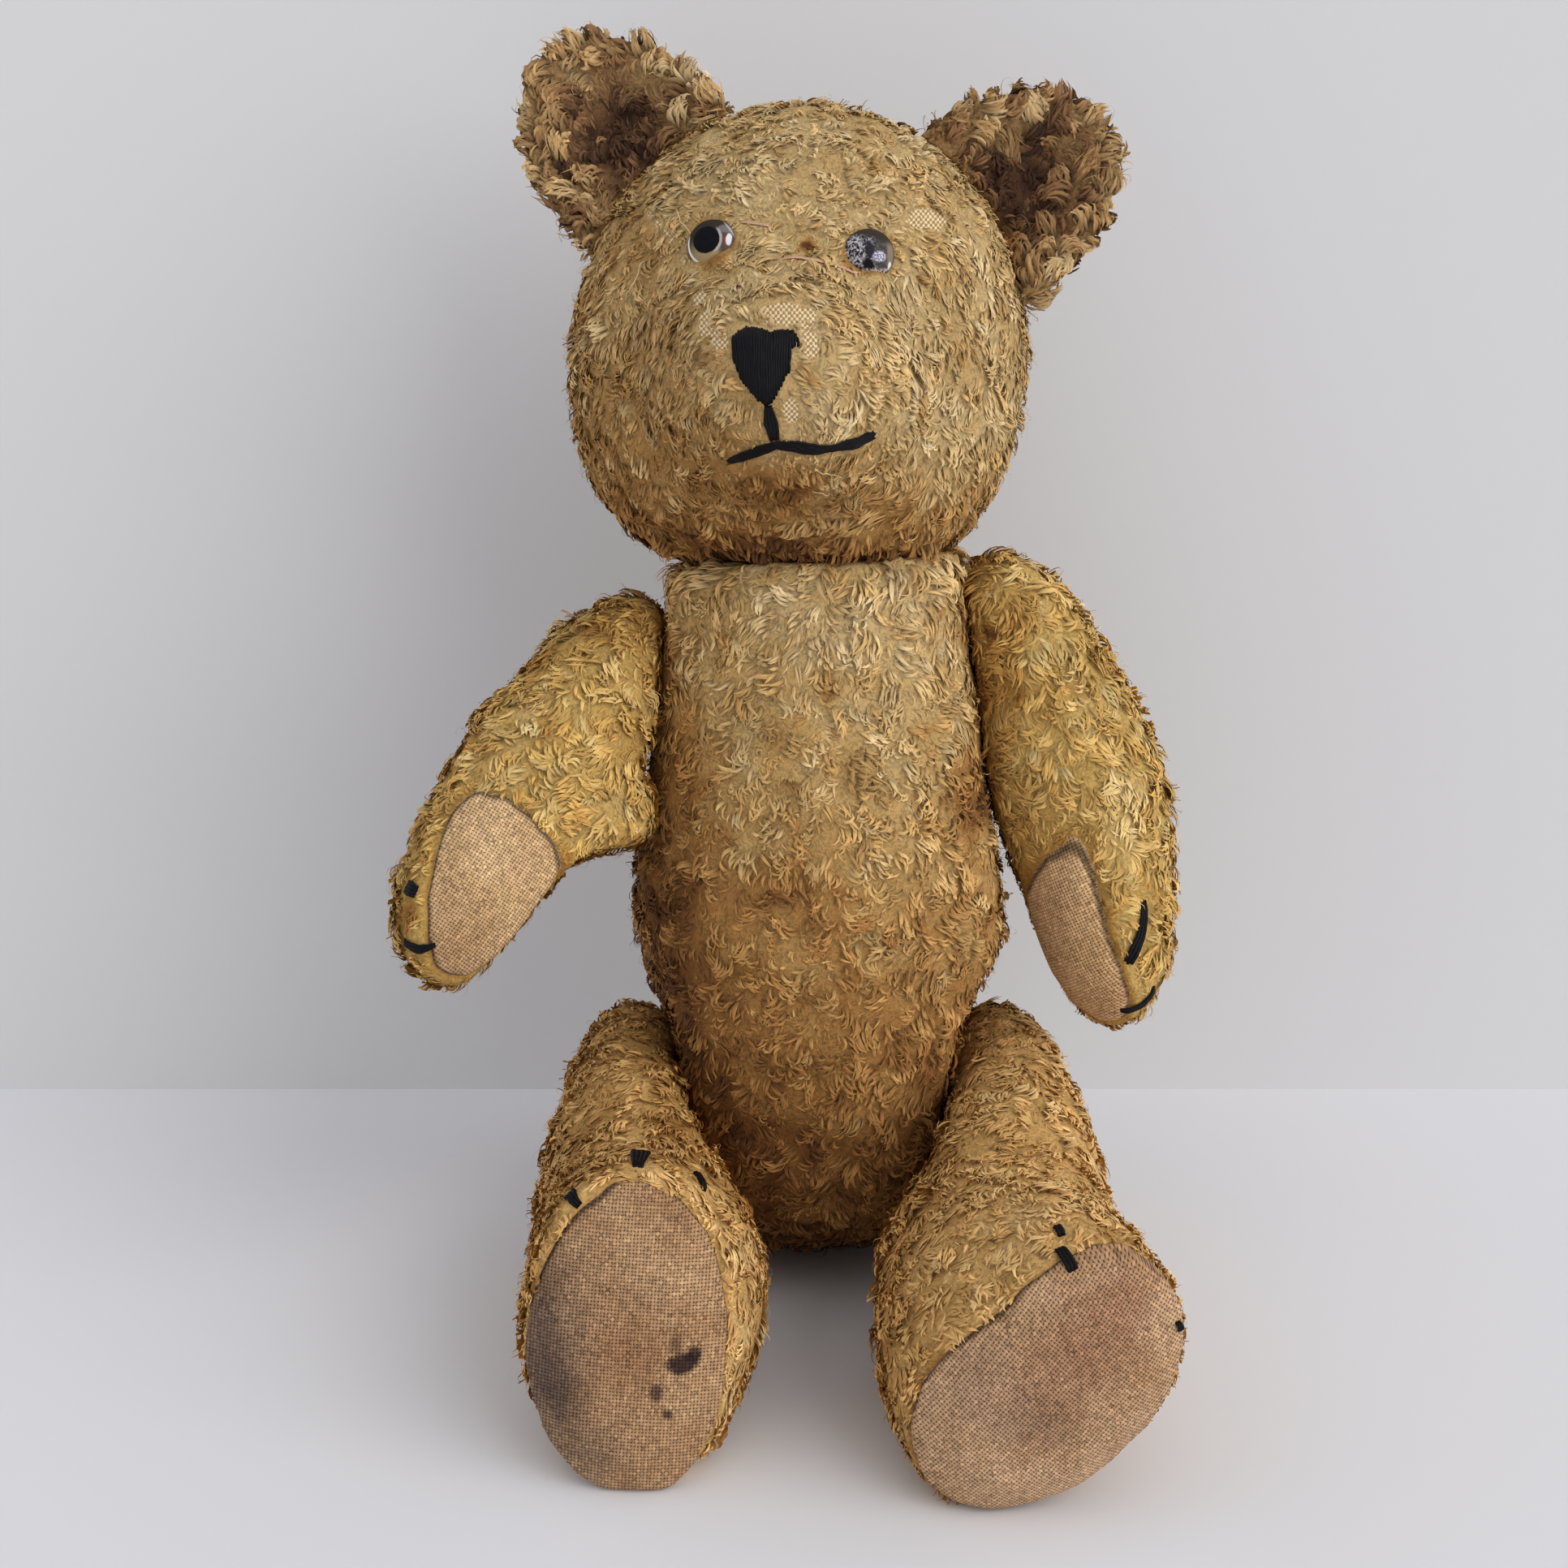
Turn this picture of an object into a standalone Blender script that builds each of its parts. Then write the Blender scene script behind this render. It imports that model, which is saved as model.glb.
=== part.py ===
"""A worn, fully jointed teddy bear, seated. Metres, +Z up; it faces -Y and its left side is +X.

Each cover is a hollow sewn shell with its own filling. Head, arms and legs turn on disc joints: a cotter pin
goes through both covers, with a fibreboard disc and a steel washer on each side of them.
"""

from math import atan2, cos, pi, radians, sin

import bmesh
import bpy
from mathutils import Euler, Matrix, Vector
from mathutils.bvhtree import BVHTree

# Cloth and clearances
CLOTH = 0.0025          # backing and matted pile of a cover
GAP = 0.0003            # between pieces that touch
# between a cover and its filling
FILL_GAPS = {"body": 0.0045, "head": 0.0038, "arm": 0.0012, "leg": 0.0042}
REACH = 0.2             # longer than any piece, for cutters

# Body: half width, half depth, leftward and backward shift, at equal steps from its lowest to its highest
BODY_LOW, BODY_HIGH = -0.005, 0.216
BODY_ROWS = (
    (0.032, 0.027, 0.000, 0.0002),
    (0.0415, 0.042, 0.000, -0.0048),
    (0.050, 0.050, 0.0015, -0.0068),
    (0.0555, 0.051, 0.0035, -0.0038),
    (0.0510, 0.047, 0.002, 0.0012),
    (0.0460, 0.042, 0.0005, 0.0062),
    (0.0425, 0.039, 0.000, 0.0097),
)
BODY_CAPS = (0.034, 2.0, 0.016, 2.6)    # length and roundness of the bottom and of the top

# Joints: centre, outward lean of the axis, disc radius; the neck's axis leans backwards and to the right
NECK_AT, NECK_LEAN, NECK_ROLL, NECK_DISC = Vector((0.0, 0.0087, 0.2035)), radians(8), radians(4.4), 0.019
SHOULDER_AT, SHOULDER_TILT, SHOULDER_DISC = Vector((0.043, 0.0052, 0.172)), radians(7), 0.0104
HIP_AT, HIP_TILT, HIP_DISC = Vector((0.034, -0.0088, 0.040)), radians(-5), 0.0155
HIP_BULGE_FROM, HIP_BULGE = 0.0325, 72.0    # the belly swells over the thigh's round top from here up
FOOT_SWELL_FROM, FOOT_SWELL = 0.037, 16.0   # the foot swells past the hip's plane from here forward

# Joint hardware
DISC_THICK = 0.0025
WASHER_RADIUS, WASHER_THICK = 0.0065, 0.0008
PIN_HOLE = 0.0024
PIN_WIRE, PIN_LEGS_APART = 0.0006, 0.0017
PIN_EYE, PIN_CURL = 0.0022, 0.0018
POCKET_DEEP, PIN_POCKET_DEEP, PIN_POCKET = 0.0085, 0.01275, 0.0072

# Head: its middle above the neck, half sizes, and the muzzle that is blended into it
HEAD_UP, HEAD_SIDEWAYS = 0.0540, -0.0008
HEAD_TURN = Euler((0, radians(4.5), radians(-5)), "YXZ")
HEAD_HALF_WIDTH, HEAD_HALF_DEPTH = 0.0625, 0.054
HEAD_ABOVE, HEAD_BELOW = 0.0690, 0.057
HEAD_SQUARE_JAW = 1.3
MUZZLE_AT, MUZZLE_HALF = Vector((0, -0.043, -0.009)), Vector((0.033, 0.037, 0.031))
MUZZLE_BLEND = 0.014

# Ears, as seen on the head: angle from the crown and height of the root, and the cup's half sizes
EARS = {"right": (radians(-43.5), 0.0610), "left": (radians(48.5), 0.0568)}
EAR_HALF_WIDTH, EAR_HEIGHT, EAR_THICK, EAR_CUP = 0.0272, 0.040, 0.0048, 0.013

# Face: places across and up from the middle of the head
EYE_PLACES = {"right": (-0.0207, 0.0257), "left": (0.0195, 0.0254)}
EYE_RADIUS, EYE_HEIGHT = 0.0058, 0.0042
PUPIL_RADIUS, PUPIL_HEIGHT = 0.0029, 0.0020
NOSE_ACROSS, NOSE_TOP, NOSE_TALL, NOSE_HALF_WIDTH, NOSE_THICK = -0.0010, 0.0020, 0.0172, 0.0079, 0.0016
STITCH_WIDE, STITCH_HIGH, THREAD_LIFT = 0.0014, 0.0009, 0.0004
LIP_STITCH = ((0.0001, -0.0162), (0.0021, -0.0226))
MOUTH_LINE = ((-0.0113, -0.0304), (-0.0048, -0.0270), (0.0023, -0.0243), (0.0129, -0.0252),
              (0.0201, -0.0236), (0.0270, -0.0205))

# Arms, from the shoulder along each arm: outward place, inner-outer half size, front-back half size
ARM_CAPS = (0.025, 2.0, 0.022, 2.0)
ARMS = {
    "right": {
        "swing": radians(44),           # forward from straight down
        "back": -0.0205,
        "reach": 0.102,
        "rows": (
            (0.0125, 0.0190, 0.0235),
            (0.0145, 0.0205, 0.0255),
            (0.0220, 0.0245, 0.0280),
            (0.0320, 0.0250, 0.0265),
            (0.0400, 0.0215, 0.0220),
            (0.0450, 0.0160, 0.0165),
        ),
        "pad_turn": radians(12),
        "claws": (((0.0788, 15), (0.0832, 54)), ((0.0938, 22), (0.0968, 62))),
    },
    "left": {
        "swing": radians(20),
        "back": -0.032,
        "reach": 0.103,
        "rows": (
            (0.0100, 0.0175, 0.0245),
            (0.0145, 0.0215, 0.0250),
            (0.0220, 0.0250, 0.0250),
            (0.0268, 0.0230, 0.0235),
            (0.0278, 0.0188, 0.0195),
            (0.0285, 0.0145, 0.0155),
        ),
        "pad_turn": radians(34),
        "claws": (((0.0699, 60), (0.0862, 79)), ((0.0940, 40), (0.0985, 82))),
    },
}
PAD_TOP, PAD_SLOPE = 0.052, radians(20)     # where a paw pad starts on the arm, and its slope to the tip

# Legs, from the hip along each leg: outward place, height, half thickness, half height, twist and tilt back
LEG_BACK = -0.038
LEG_CAPS = (0.038, 2.0, 0.010, 2.2)
LEGS = {
    "right": {
        "reach": 0.123,
        "rows": (
            (0.0160, 0.000, 0.0200, 0.0380, 0, 0),
            (0.0160, 0.000, 0.0200, 0.0380, 0, 0),
            (0.0160, 0.0005, 0.0215, 0.0375, 0, 0),
            (0.0135, -0.001, 0.0270, 0.0360, 0, 0),
            (0.0115, -0.0045, 0.0300, 0.0335, 0, 4),
            (0.0112, -0.0045, 0.0302, 0.0375, 0, 12),
            (0.0150, -0.0035, 0.0232, 0.0400, 0, 17),
        ),
        "claws": (
            ((0.1060, 66), (0.1110, 76)),
            ((0.0960, 92), (0.1085, 96)),
            ((0.0930, 119), (0.0980, 123)),
        ),
    },
    "left": {
        "reach": 0.140,
        "rows": (
            (0.0160, 0.000, 0.0200, 0.0380, 0, 0),
            (0.0160, 0.000, 0.0200, 0.0380, 0, 0),
            (0.0165, 0.0005, 0.0215, 0.0375, 6, 0),
            (0.0140, -0.0015, 0.0270, 0.0360, 16, 0),
            (0.0125, -0.0055, 0.0305, 0.0340, 28, 2),
            (0.0148, -0.0055, 0.0298, 0.0378, 38, 4),
            (0.0215, -0.0075, 0.0228, 0.0378, 45, 6),
        ),
        "claws": (
            ((0.1160, 123), (0.1208, 126)),
            ((0.1225, 127), (0.1275, 129)),
            ((0.1255, 84), (0.1285, 78)),
        ),
    },
}
SOLE_BEFORE_END = 0.010                 # the sole's seam, from the end of the leg

# Rounds and rings of each form: a cover's, and its filling's
BODY_MESH, BODY_FILL_MESH = (26, 16), (16, 10)
HEAD_MESH, HEAD_FILL_MESH = (28, 18), (14, 10)
ARM_MESH, ARM_FILL_MESH = (18, 13), (10, 7)
LEG_MESH, LEG_FILL_MESH = (20, 14), (14, 9)

FINISHES = {                            # colour, roughness, metallic
    "plush": ((0.56, 0.40, 0.19), 0.9, 0),
    "ear_plush": ((0.40, 0.24, 0.09), 0.9, 0),
    "woven_pad": ((0.60, 0.42, 0.29), 0.9, 0),
    "black_thread": ((0.02, 0.018, 0.018), 0.6, 0),
    "clear_glass": ((0.80, 0.80, 0.78), 0.05, 0),
    "black_glass": ((0.01, 0.01, 0.012), 0.1, 0),
    "wood_wool": ((0.62, 0.50, 0.30), 0.95, 0),
    "fibreboard": ((0.33, 0.22, 0.12), 0.8, 0),
    "steel": ((0.45, 0.43, 0.40), 0.4, 1),
}


def finish(name):
    """The material of this name, made the first time."""
    found = bpy.data.materials.get(name)
    if found:
        return found
    colour, roughness, metallic = FINISHES[name]
    made = bpy.data.materials.new(name)
    made.use_nodes = True
    surface = made.node_tree.nodes["Principled BSDF"]
    surface.inputs["Base Color"].default_value = (*colour, 1)
    surface.inputs["Roughness"].default_value = roughness
    surface.inputs["Metallic"].default_value = metallic
    made.diffuse_color = (*colour, 1)
    return made


def face_out(bm):
    bm.normal_update()
    bmesh.ops.recalc_face_normals(bm, faces=bm.faces)
    bm.normal_update()


def piece(name, bm, finish_name, parent=None):
    """An object from a finished bmesh, smooth where its faces meet softly."""
    face_out(bm)
    mesh = bpy.data.meshes.new(name)
    bm.to_mesh(mesh)
    bm.free()
    mesh.shade_smooth()
    mesh.set_sharp_from_angle(angle=radians(40))
    mesh.materials.append(finish(finish_name))
    made = bpy.data.objects.new(name, mesh)
    bpy.context.scene.collection.objects.link(made)
    if parent:
        made.parent = parent
        made.matrix_parent_inverse = parent.matrix_world.inverted()
    return made


def guide(name, bm):
    """A cutter, which is not a piece of the bear."""
    made = piece(name, bm, "steel")
    made.hide_render = True
    made.display_type = "WIRE"
    return made


def cut(target, cutter, operation="DIFFERENCE"):
    boolean = target.modifiers.new(cutter.name, "BOOLEAN")
    boolean.operation = operation
    boolean.solver = "EXACT"
    boolean.object = cutter


def pivot(name, place):
    """An empty on a joint: its Z is the axis, and its X is the way the limb points."""
    made = bpy.data.objects.new(name, None)
    made.empty_display_size = 0.02
    made.matrix_world = place
    bpy.context.scene.collection.objects.link(made)
    return made


def along(rows, t):
    """The rows' values at t, from 0 at the first row to 1 at the last, on a smooth curve through them all."""
    spot = t * (len(rows) - 1)
    i = min(int(spot), len(rows) - 2)
    f = spot - i
    values = []
    for column in zip(*rows):
        before, start, end, after = (column[min(max(i + k, 0), len(rows) - 1)] for k in (-1, 0, 1, 2))
        bend = 2 * before - 5 * start + 4 * end - after + f * (3 * (start - end) + after - before)
        values.append(start + 0.5 * f * (end - before + f * bend))
    return values


def round_ends(from_start, from_end, caps):
    """How full a form is at a place, from 0 at its very ends to 1 past its rounded caps."""
    full = 1.0
    for distance, length, power in ((from_start, *caps[:2]), (from_end, *caps[2:])):
        if distance < length:
            full *= max(0.0, 1 - (1 - max(distance, 0) / length) ** power) ** (1 / power)
    return full


def soft_form(section, mesh_size):
    """A ball drawn out along a form: section(t) gives its centre, two axes and two half sizes there."""
    bm = bmesh.new()
    bmesh.ops.create_uvsphere(bm, u_segments=mesh_size[0], v_segments=mesh_size[1], radius=1)
    for vert in bm.verts:
        turn = atan2(vert.co.y, vert.co.x)
        centre, side, up, half_side, half_up = section((1 - vert.co.z) / 2)
        vert.co = centre + side * half_side * cos(turn) + up * half_up * sin(turn)
    return bm


def inset(bm, depth):
    """Moves a closed form's surface inwards."""
    face_out(bm)
    moves = [(vert, vert.normal * -depth) for vert in bm.verts]
    for vert, move in moves:
        vert.co += move


def turned(outline, steps, place, closed=False):
    """A lathe-turned solid: (radius, height) points, from the axis to the axis or closed round a hole."""
    bm = bmesh.new()
    verts = [bm.verts.new((radius, 0, height)) for radius, height in outline]
    edges = [bm.edges.new(pair) for pair in zip(verts, verts[1:])]
    if closed:
        edges.append(bm.edges.new((verts[-1], verts[0])))
    bmesh.ops.spin(bm, geom=verts + edges, cent=(0, 0, 0), axis=(0, 0, 1), angle=2 * pi, steps=steps,
                   use_merge=True)
    bmesh.ops.remove_doubles(bm, verts=bm.verts, dist=0.00001)
    bmesh.ops.transform(bm, matrix=place, verts=bm.verts)
    return bm


def joint_place(at, axis, lead):
    """The joint's own axes in the world: X the way the limb points, Y across it, Z out along the axis."""
    out = axis.normalized()
    forward = (lead - out * lead.dot(out)).normalized()
    return Matrix.Translation(at) @ Matrix((forward, out.cross(forward), out)).transposed().to_4x4()


def side_joint(at, tilt, side, lead):
    sign = -1 if side == "right" else 1
    centre = Vector((sign * at.x, at.y, at.z))
    return joint_place(centre, Vector((sign * cos(tilt), 0, sin(tilt))), lead)


def side_up(place):
    """The in-plane direction square to the limb that points up."""
    across = place.col[1].to_3d()
    return across if across.z > 0 else -across


# --- Joints ---

SIDES = ("right", "left")
JOINTS = {"neck": (joint_place(NECK_AT, Vector((-sin(NECK_ROLL), sin(NECK_LEAN), cos(NECK_LEAN))),
                               Vector((0, -1, 0))), NECK_DISC)}
for side in SIDES:
    swing = ARMS[side]["swing"]
    hanging = Vector((0, -sin(swing), -cos(swing)))
    JOINTS[side + "_shoulder"] = (side_joint(SHOULDER_AT, SHOULDER_TILT, side, hanging), SHOULDER_DISC)
    JOINTS[side + "_hip"] = (side_joint(HIP_AT, HIP_TILT, side, Vector((0, -1, 0))), HIP_DISC)


def press(bm, joint, sign, way=None, bulge_from=0.0, bulge=0.0):
    """Flattens a form against a joint's plane, on the body's side of it (sign -1) or the limb's (sign 1).

    Along a given way it may swell past the plane again, from a given distance on.
    """
    place = JOINTS[joint][0]
    centre, out = place.translation, place.col[2].to_3d() * sign
    for vert in bm.verts:
        offset = vert.co - centre
        past = max(0.0, offset.dot(way) - bulge_from) if way else 0.0
        limit = GAP / 2 - bulge * past * past
        vert.co += out * max(0.0, limit - offset.dot(out))


def rest_on_floor(bm):
    for vert in bm.verts:
        vert.co.z = max(vert.co.z, 0.0)


# --- Forms ---

def body_form(mesh_size):
    length = BODY_HIGH - BODY_LOW

    def section(t):
        half_width, half_depth, left, back = along(BODY_ROWS, t)
        full = round_ends(t * length, (1 - t) * length, BODY_CAPS)
        centre = Vector((left, back, BODY_LOW + t * length))
        return centre, Vector((1, 0, 0)), Vector((0, 1, 0)), half_width * full, half_depth * full

    bm = soft_form(section, mesh_size)
    press(bm, "neck", -1)
    for side in SIDES:
        press(bm, side + "_shoulder", -1)
        press(bm, side + "_hip", -1, Vector((0, 0.25, 0.97)), HIP_BULGE_FROM, HIP_BULGE)
    rest_on_floor(bm)
    return bm


def head_place():
    """The head's own axes in the world, from its middle."""
    neck = JOINTS["neck"][0]
    upright = Matrix.Rotation(-NECK_LEAN, 4, "X")
    middle = neck.translation + neck.col[2].to_3d() * HEAD_UP + Vector((HEAD_SIDEWAYS, 0, 0))
    return Matrix.Translation(middle) @ upright @ HEAD_TURN.to_matrix().to_4x4()


def head_depth(spot):
    """How far a place is from the head's skin, below 0 inside: a ball with a squarer jaw, and a muzzle."""
    x, y, z = spot
    tall = HEAD_ABOVE if z > 0 else HEAD_BELOW
    power = 2 + HEAD_SQUARE_JAW * max(0.0, -z / spot.length)
    skull = (abs(x / HEAD_HALF_WIDTH) ** power + abs(y / HEAD_HALF_DEPTH) ** power
             + abs(z / tall) ** power) ** (1 / power)
    muzzle = Vector((a - b) / c for a, b, c in zip(spot, MUZZLE_AT, MUZZLE_HALF)).length
    skull, muzzle = (skull - 1) * HEAD_HALF_DEPTH, (muzzle - 1) * MUZZLE_HALF.x
    near = max(0.0, 1 - abs(muzzle - skull) / MUZZLE_BLEND)
    return min(muzzle, skull) - MUZZLE_BLEND * near * near / 4


def head_radius(direction):
    """From the middle of the head to its skin."""
    inside, outside = 0.0, REACH
    for _ in range(24):
        middle = (inside + outside) / 2
        if head_depth(direction * middle) < 0:
            inside = middle
        else:
            outside = middle
    return inside


def head_form(mesh_size, pressed=True):
    bm = bmesh.new()
    bmesh.ops.create_uvsphere(bm, u_segments=mesh_size[0], v_segments=mesh_size[1], radius=1)
    place = head_place()
    for vert in bm.verts:
        turn, dip = atan2(vert.co.y, vert.co.x), (1 - vert.co.z) / 2
        tilt = pi * (0.75 * dip + 0.25 * (1 - cos(pi * dip)) / 2)    # rings lie closer together on the muzzle
        direction = Vector((sin(tilt) * cos(turn), -cos(tilt), sin(tilt) * sin(turn)))
        vert.co = place @ (direction * head_radius(direction))
    if pressed:
        press(bm, "neck", 1)
    return bm


def arm_share(side, distance):
    """How far along the whole arm a distance from its shoulder is, 0 to 1."""
    arm = ARMS[side]
    return (distance - arm["back"]) / (arm["reach"] - arm["back"])


def arm_form(side, mesh_size):
    place, back = JOINTS[side + "_shoulder"][0], ARMS[side]["back"]
    length = ARMS[side]["reach"] - back
    forward, out, up = place.col[0].to_3d(), place.col[2].to_3d(), side_up(place)

    def section(t):
        outward, half_out, half_up = along(ARMS[side]["rows"], t)
        full = round_ends(t * length, (1 - t) * length, ARM_CAPS)
        centre = place.translation + forward * (back + t * length) + out * outward
        return centre, out, up, half_out * full, half_up * full

    bm = soft_form(section, mesh_size)
    press(bm, side + "_shoulder", 1)
    return bm


def leg_section(side, t):
    place = JOINTS[side + "_hip"][0]
    length = LEGS[side]["reach"] - LEG_BACK
    forward, out, up = place.col[0].to_3d(), place.col[2].to_3d(), side_up(place)
    outward, height, half_out, half_up, twist, tilt = along(LEGS[side]["rows"], t)
    twist, tilt = radians(twist), radians(tilt)
    full = round_ends(t * length, (1 - t) * length, LEG_CAPS)
    centre = place.translation + forward * (LEG_BACK + t * length) + out * outward + up * height
    leaning = up * cos(tilt) - forward * sin(tilt)
    across = out * cos(twist) - leaning * sin(twist)
    toes = leaning * cos(twist) + out * sin(twist)
    return centre, across, toes, half_out * full, half_up * full


def leg_form(side, mesh_size):
    bm = soft_form(lambda t: leg_section(side, t), mesh_size)
    press(bm, side + "_hip", 1, Vector((0, -1, 0)), FOOT_SWELL_FROM, FOOT_SWELL)
    rest_on_floor(bm)
    return bm


# --- Covers, fillings and pads ---

def shell(name, bm, finish_name, parent=None):
    """A sewn cover: the form's skin, one cloth thick."""
    made = piece(name, bm, finish_name, parent)
    cloth = made.modifiers.new("cloth", "SOLIDIFY")
    cloth.thickness = CLOTH
    cloth.offset = -1
    return made


def filling(name, bm, gap, parent=None):
    inset(bm, CLOTH + gap)
    return piece(name, bm, "wood_wool", parent)


def beyond(name, at, normal):
    """A block that holds everything past a plane."""
    bm = bmesh.new()
    bmesh.ops.create_cube(bm, size=REACH)
    turn = normal.to_track_quat("Z", "Y").to_matrix().to_4x4()
    bmesh.ops.transform(bm, matrix=Matrix.Translation(at + normal * REACH / 2) @ turn, verts=bm.verts)
    return guide(name, bm)


def sewn_pad(name, form, cover, at, normal, parent):
    """Splits the pad off a cover along its seam's plane."""
    pad = shell(name, form, "woven_pad", parent)
    cut(pad, beyond(name + "_cutter", at + normal * GAP / 2, normal), "INTERSECT")
    cut(cover, beyond(cover.name + "_cutter", at - normal * GAP / 2, normal))


def paw_seam(side):
    """A point and the normal of the plane that a paw pad is sewn along."""
    place = JOINTS[side + "_shoulder"][0]
    forward, out, up = place.col[0].to_3d(), place.col[2].to_3d(), side_up(place)
    turn = ARMS[side]["pad_turn"]
    t = arm_share(side, PAD_TOP)
    outward, half_out, half_up = along(ARMS[side]["rows"], t)
    facing = up * cos(turn) - out * sin(turn)
    surface = (up * half_up * cos(turn) - out * half_out * sin(turn)) * 0.97
    at = place.translation + forward * PAD_TOP + out * outward + surface
    return at, (facing * cos(PAD_SLOPE) + forward * sin(PAD_SLOPE)).normalized()


def sole_seam(side):
    """A point and the normal of the plane that a sole is sewn along."""
    length = LEGS[side]["reach"] - LEG_BACK
    centre, across, toes, _, _ = leg_section(side, 1 - SOLE_BEFORE_END / length)
    normal = across.cross(toes).normalized()
    return centre, normal if normal.y < 0 else -normal


# --- Joint hardware ---

def flat_ring(radius, low, high, steps, place):
    outline = [(PIN_HOLE, low), (radius, low), (radius, high), (PIN_HOLE, high)]
    return turned(outline, steps, place, closed=True)


def cotter_pin(name, place, top, bottom, parent):
    """A folded wire: its eye bears on the limb's washer, and its ends curl over on the body's."""
    points = []
    for step in range(5):
        turn = radians(200 - 50 * step)
        points.append((PIN_LEGS_APART / 2 + PIN_CURL * (1 + cos(turn)), bottom - PIN_CURL * sin(turn) * 0.9))
    points = [(x, z) for x, z in reversed(points)]
    points = [(x, max(z, bottom - 0.0035)) for x, z in points]
    eye_centre = top + PIN_EYE
    eye = []
    for step in range(9):
        turn = radians(-62 + 38 * step)
        eye.append((PIN_EYE * cos(turn), eye_centre + PIN_EYE * sin(turn)))
    route = points + eye + [(-x, z) for x, z in reversed(points)]
    curve = bpy.data.curves.new(name, "CURVE")
    curve.dimensions = "3D"
    curve.bevel_depth = PIN_WIRE
    curve.bevel_resolution = 0
    curve.use_fill_caps = True
    wire = curve.splines.new("POLY")
    wire.points.add(len(route) - 1)
    for point, (x, z) in zip(wire.points, route):
        point.co = (*(place @ Vector((x, 0, z))), 1)
    curve.materials.append(finish("steel"))
    made = bpy.data.objects.new(name, curve)
    bpy.context.scene.collection.objects.link(made)
    if parent:
        made.parent = parent
        made.matrix_parent_inverse = parent.matrix_world.inverted()


def disc_joint(joint, limb, parent, body_cover, body_filling, limb_cover, limb_filling):
    """Discs, washers and pin of one joint, and the holes and pockets that they need."""
    place, radius = JOINTS[joint]
    disc_low = GAP / 2 + CLOTH + GAP
    washer_low = disc_low + DISC_THICK + GAP
    washer_high = washer_low + WASHER_THICK
    for holder, sign, owner in (("body", -1, None), (limb, 1, parent)):
        label = joint if holder == "body" else joint + "_" + holder
        low, high = sorted((sign * disc_low, sign * (disc_low + DISC_THICK)))
        disc = flat_ring(radius, low, high, 16, place)
        piece(label + "_disc", disc, "fibreboard", owner)
        low, high = sorted((sign * washer_low, sign * washer_high))
        washer = flat_ring(WASHER_RADIUS, low, high, 10, place)
        piece(label + "_washer", washer, "steel", owner)
    pin_seat = washer_high + GAP + PIN_WIRE
    cotter_pin(joint + "_cotter_pin", place, pin_seat, -pin_seat, parent)

    hole = turned([(0, -0.006), (PIN_HOLE, -0.006), (PIN_HOLE, 0.006), (0, 0.006)], 12, place)
    hole = guide(joint + "_hole_cutter", hole)
    cut(body_cover, hole)
    cut(limb_cover, hole)
    half = [(PIN_POCKET, PIN_POCKET_DEEP), (PIN_POCKET, POCKET_DEEP), (radius + 0.0006, POCKET_DEEP)]
    outline = [(r, -z) for r, z in half] + [(r, z) for r, z in reversed(half)]
    outline = [(0, -PIN_POCKET_DEEP)] + outline + [(0, PIN_POCKET_DEEP)]
    pocket = guide(joint + "_pocket_cutter", turned(outline, 20, place))
    cut(body_filling, pocket)
    cut(limb_filling, pocket)


# --- Stitches ---

def surface_of(form):
    """The form's skin, for laying stitches and eyes on."""
    face_out(form)
    return BVHTree.FromBMesh(form)


def drape(tree, origin, direction):
    """The surface's point and normal that a ray meets."""
    point, normal, _, _ = tree.ray_cast(origin, direction.normalized())
    return point, normal if normal.dot(direction) < 0 else -normal


def stitch(name, points, wide, high, parent):
    """Thread laid on a cover, through (point, normal) pairs: flat underneath and round on top."""
    bm = bmesh.new()
    rings = []
    for i, (point, normal) in enumerate(points):
        ahead = points[min(i + 1, len(points) - 1)][0] - points[max(i - 1, 0)][0]
        across = normal.cross(ahead).normalized()
        size = 0.6 if i in (0, len(points) - 1) else 1
        ring = []
        for step in range(6):
            turn = radians(60 * step)
            rise = THREAD_LIFT + high * size * (0.3 + max(sin(turn), -0.3))
            ring.append(bm.verts.new(point + across * wide * size * cos(turn) + normal * rise))
        rings.append(ring)
    for ring, following in zip(rings, rings[1:]):
        for k in range(6):
            bm.faces.new((ring[k], ring[(k + 1) % 6], following[(k + 1) % 6], following[k]))
    bm.faces.new(rings[0])
    bm.faces.new(rings[-1])
    return piece(name, bm, "black_thread", parent)


def between(start, end, steps):
    return [tuple(a + (b - a) * k / steps for a, b in zip(start, end)) for k in range(steps + 1)]


def face_point(tree, x, z, lift=0.0):
    """The point and normal of the face at x across and z up from the middle of the head."""
    place = head_place()
    point, normal = drape(tree, place @ Vector((x, -REACH, z)), place.to_3x3() @ Vector((0, 1, 0)))
    return point + normal * lift, -normal if normal.dot(place.to_3x3() @ Vector((0, 1, 0))) > 0 else normal


def limb_claw(name, tree, section, ends, parent):
    """A claw's thread between two places, each given as the way along the limb and the angle round it."""
    points = []
    for t, turn in between(*ends, 3):
        centre, side, up, _, _ = section(t)
        direction = side * cos(radians(turn)) + up * sin(radians(turn))
        point, normal = drape(tree, centre, direction)
        points.append((point, normal if normal.dot(direction) > 0 else -normal))
    stitch(name, points, STITCH_WIDE, STITCH_HIGH, parent)


# --- The bear ---

def make_body():
    cover = shell("body_cover", body_form(BODY_MESH), "plush")
    return cover, filling("body_stuffing", body_form(BODY_FILL_MESH), FILL_GAPS["body"])


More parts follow.
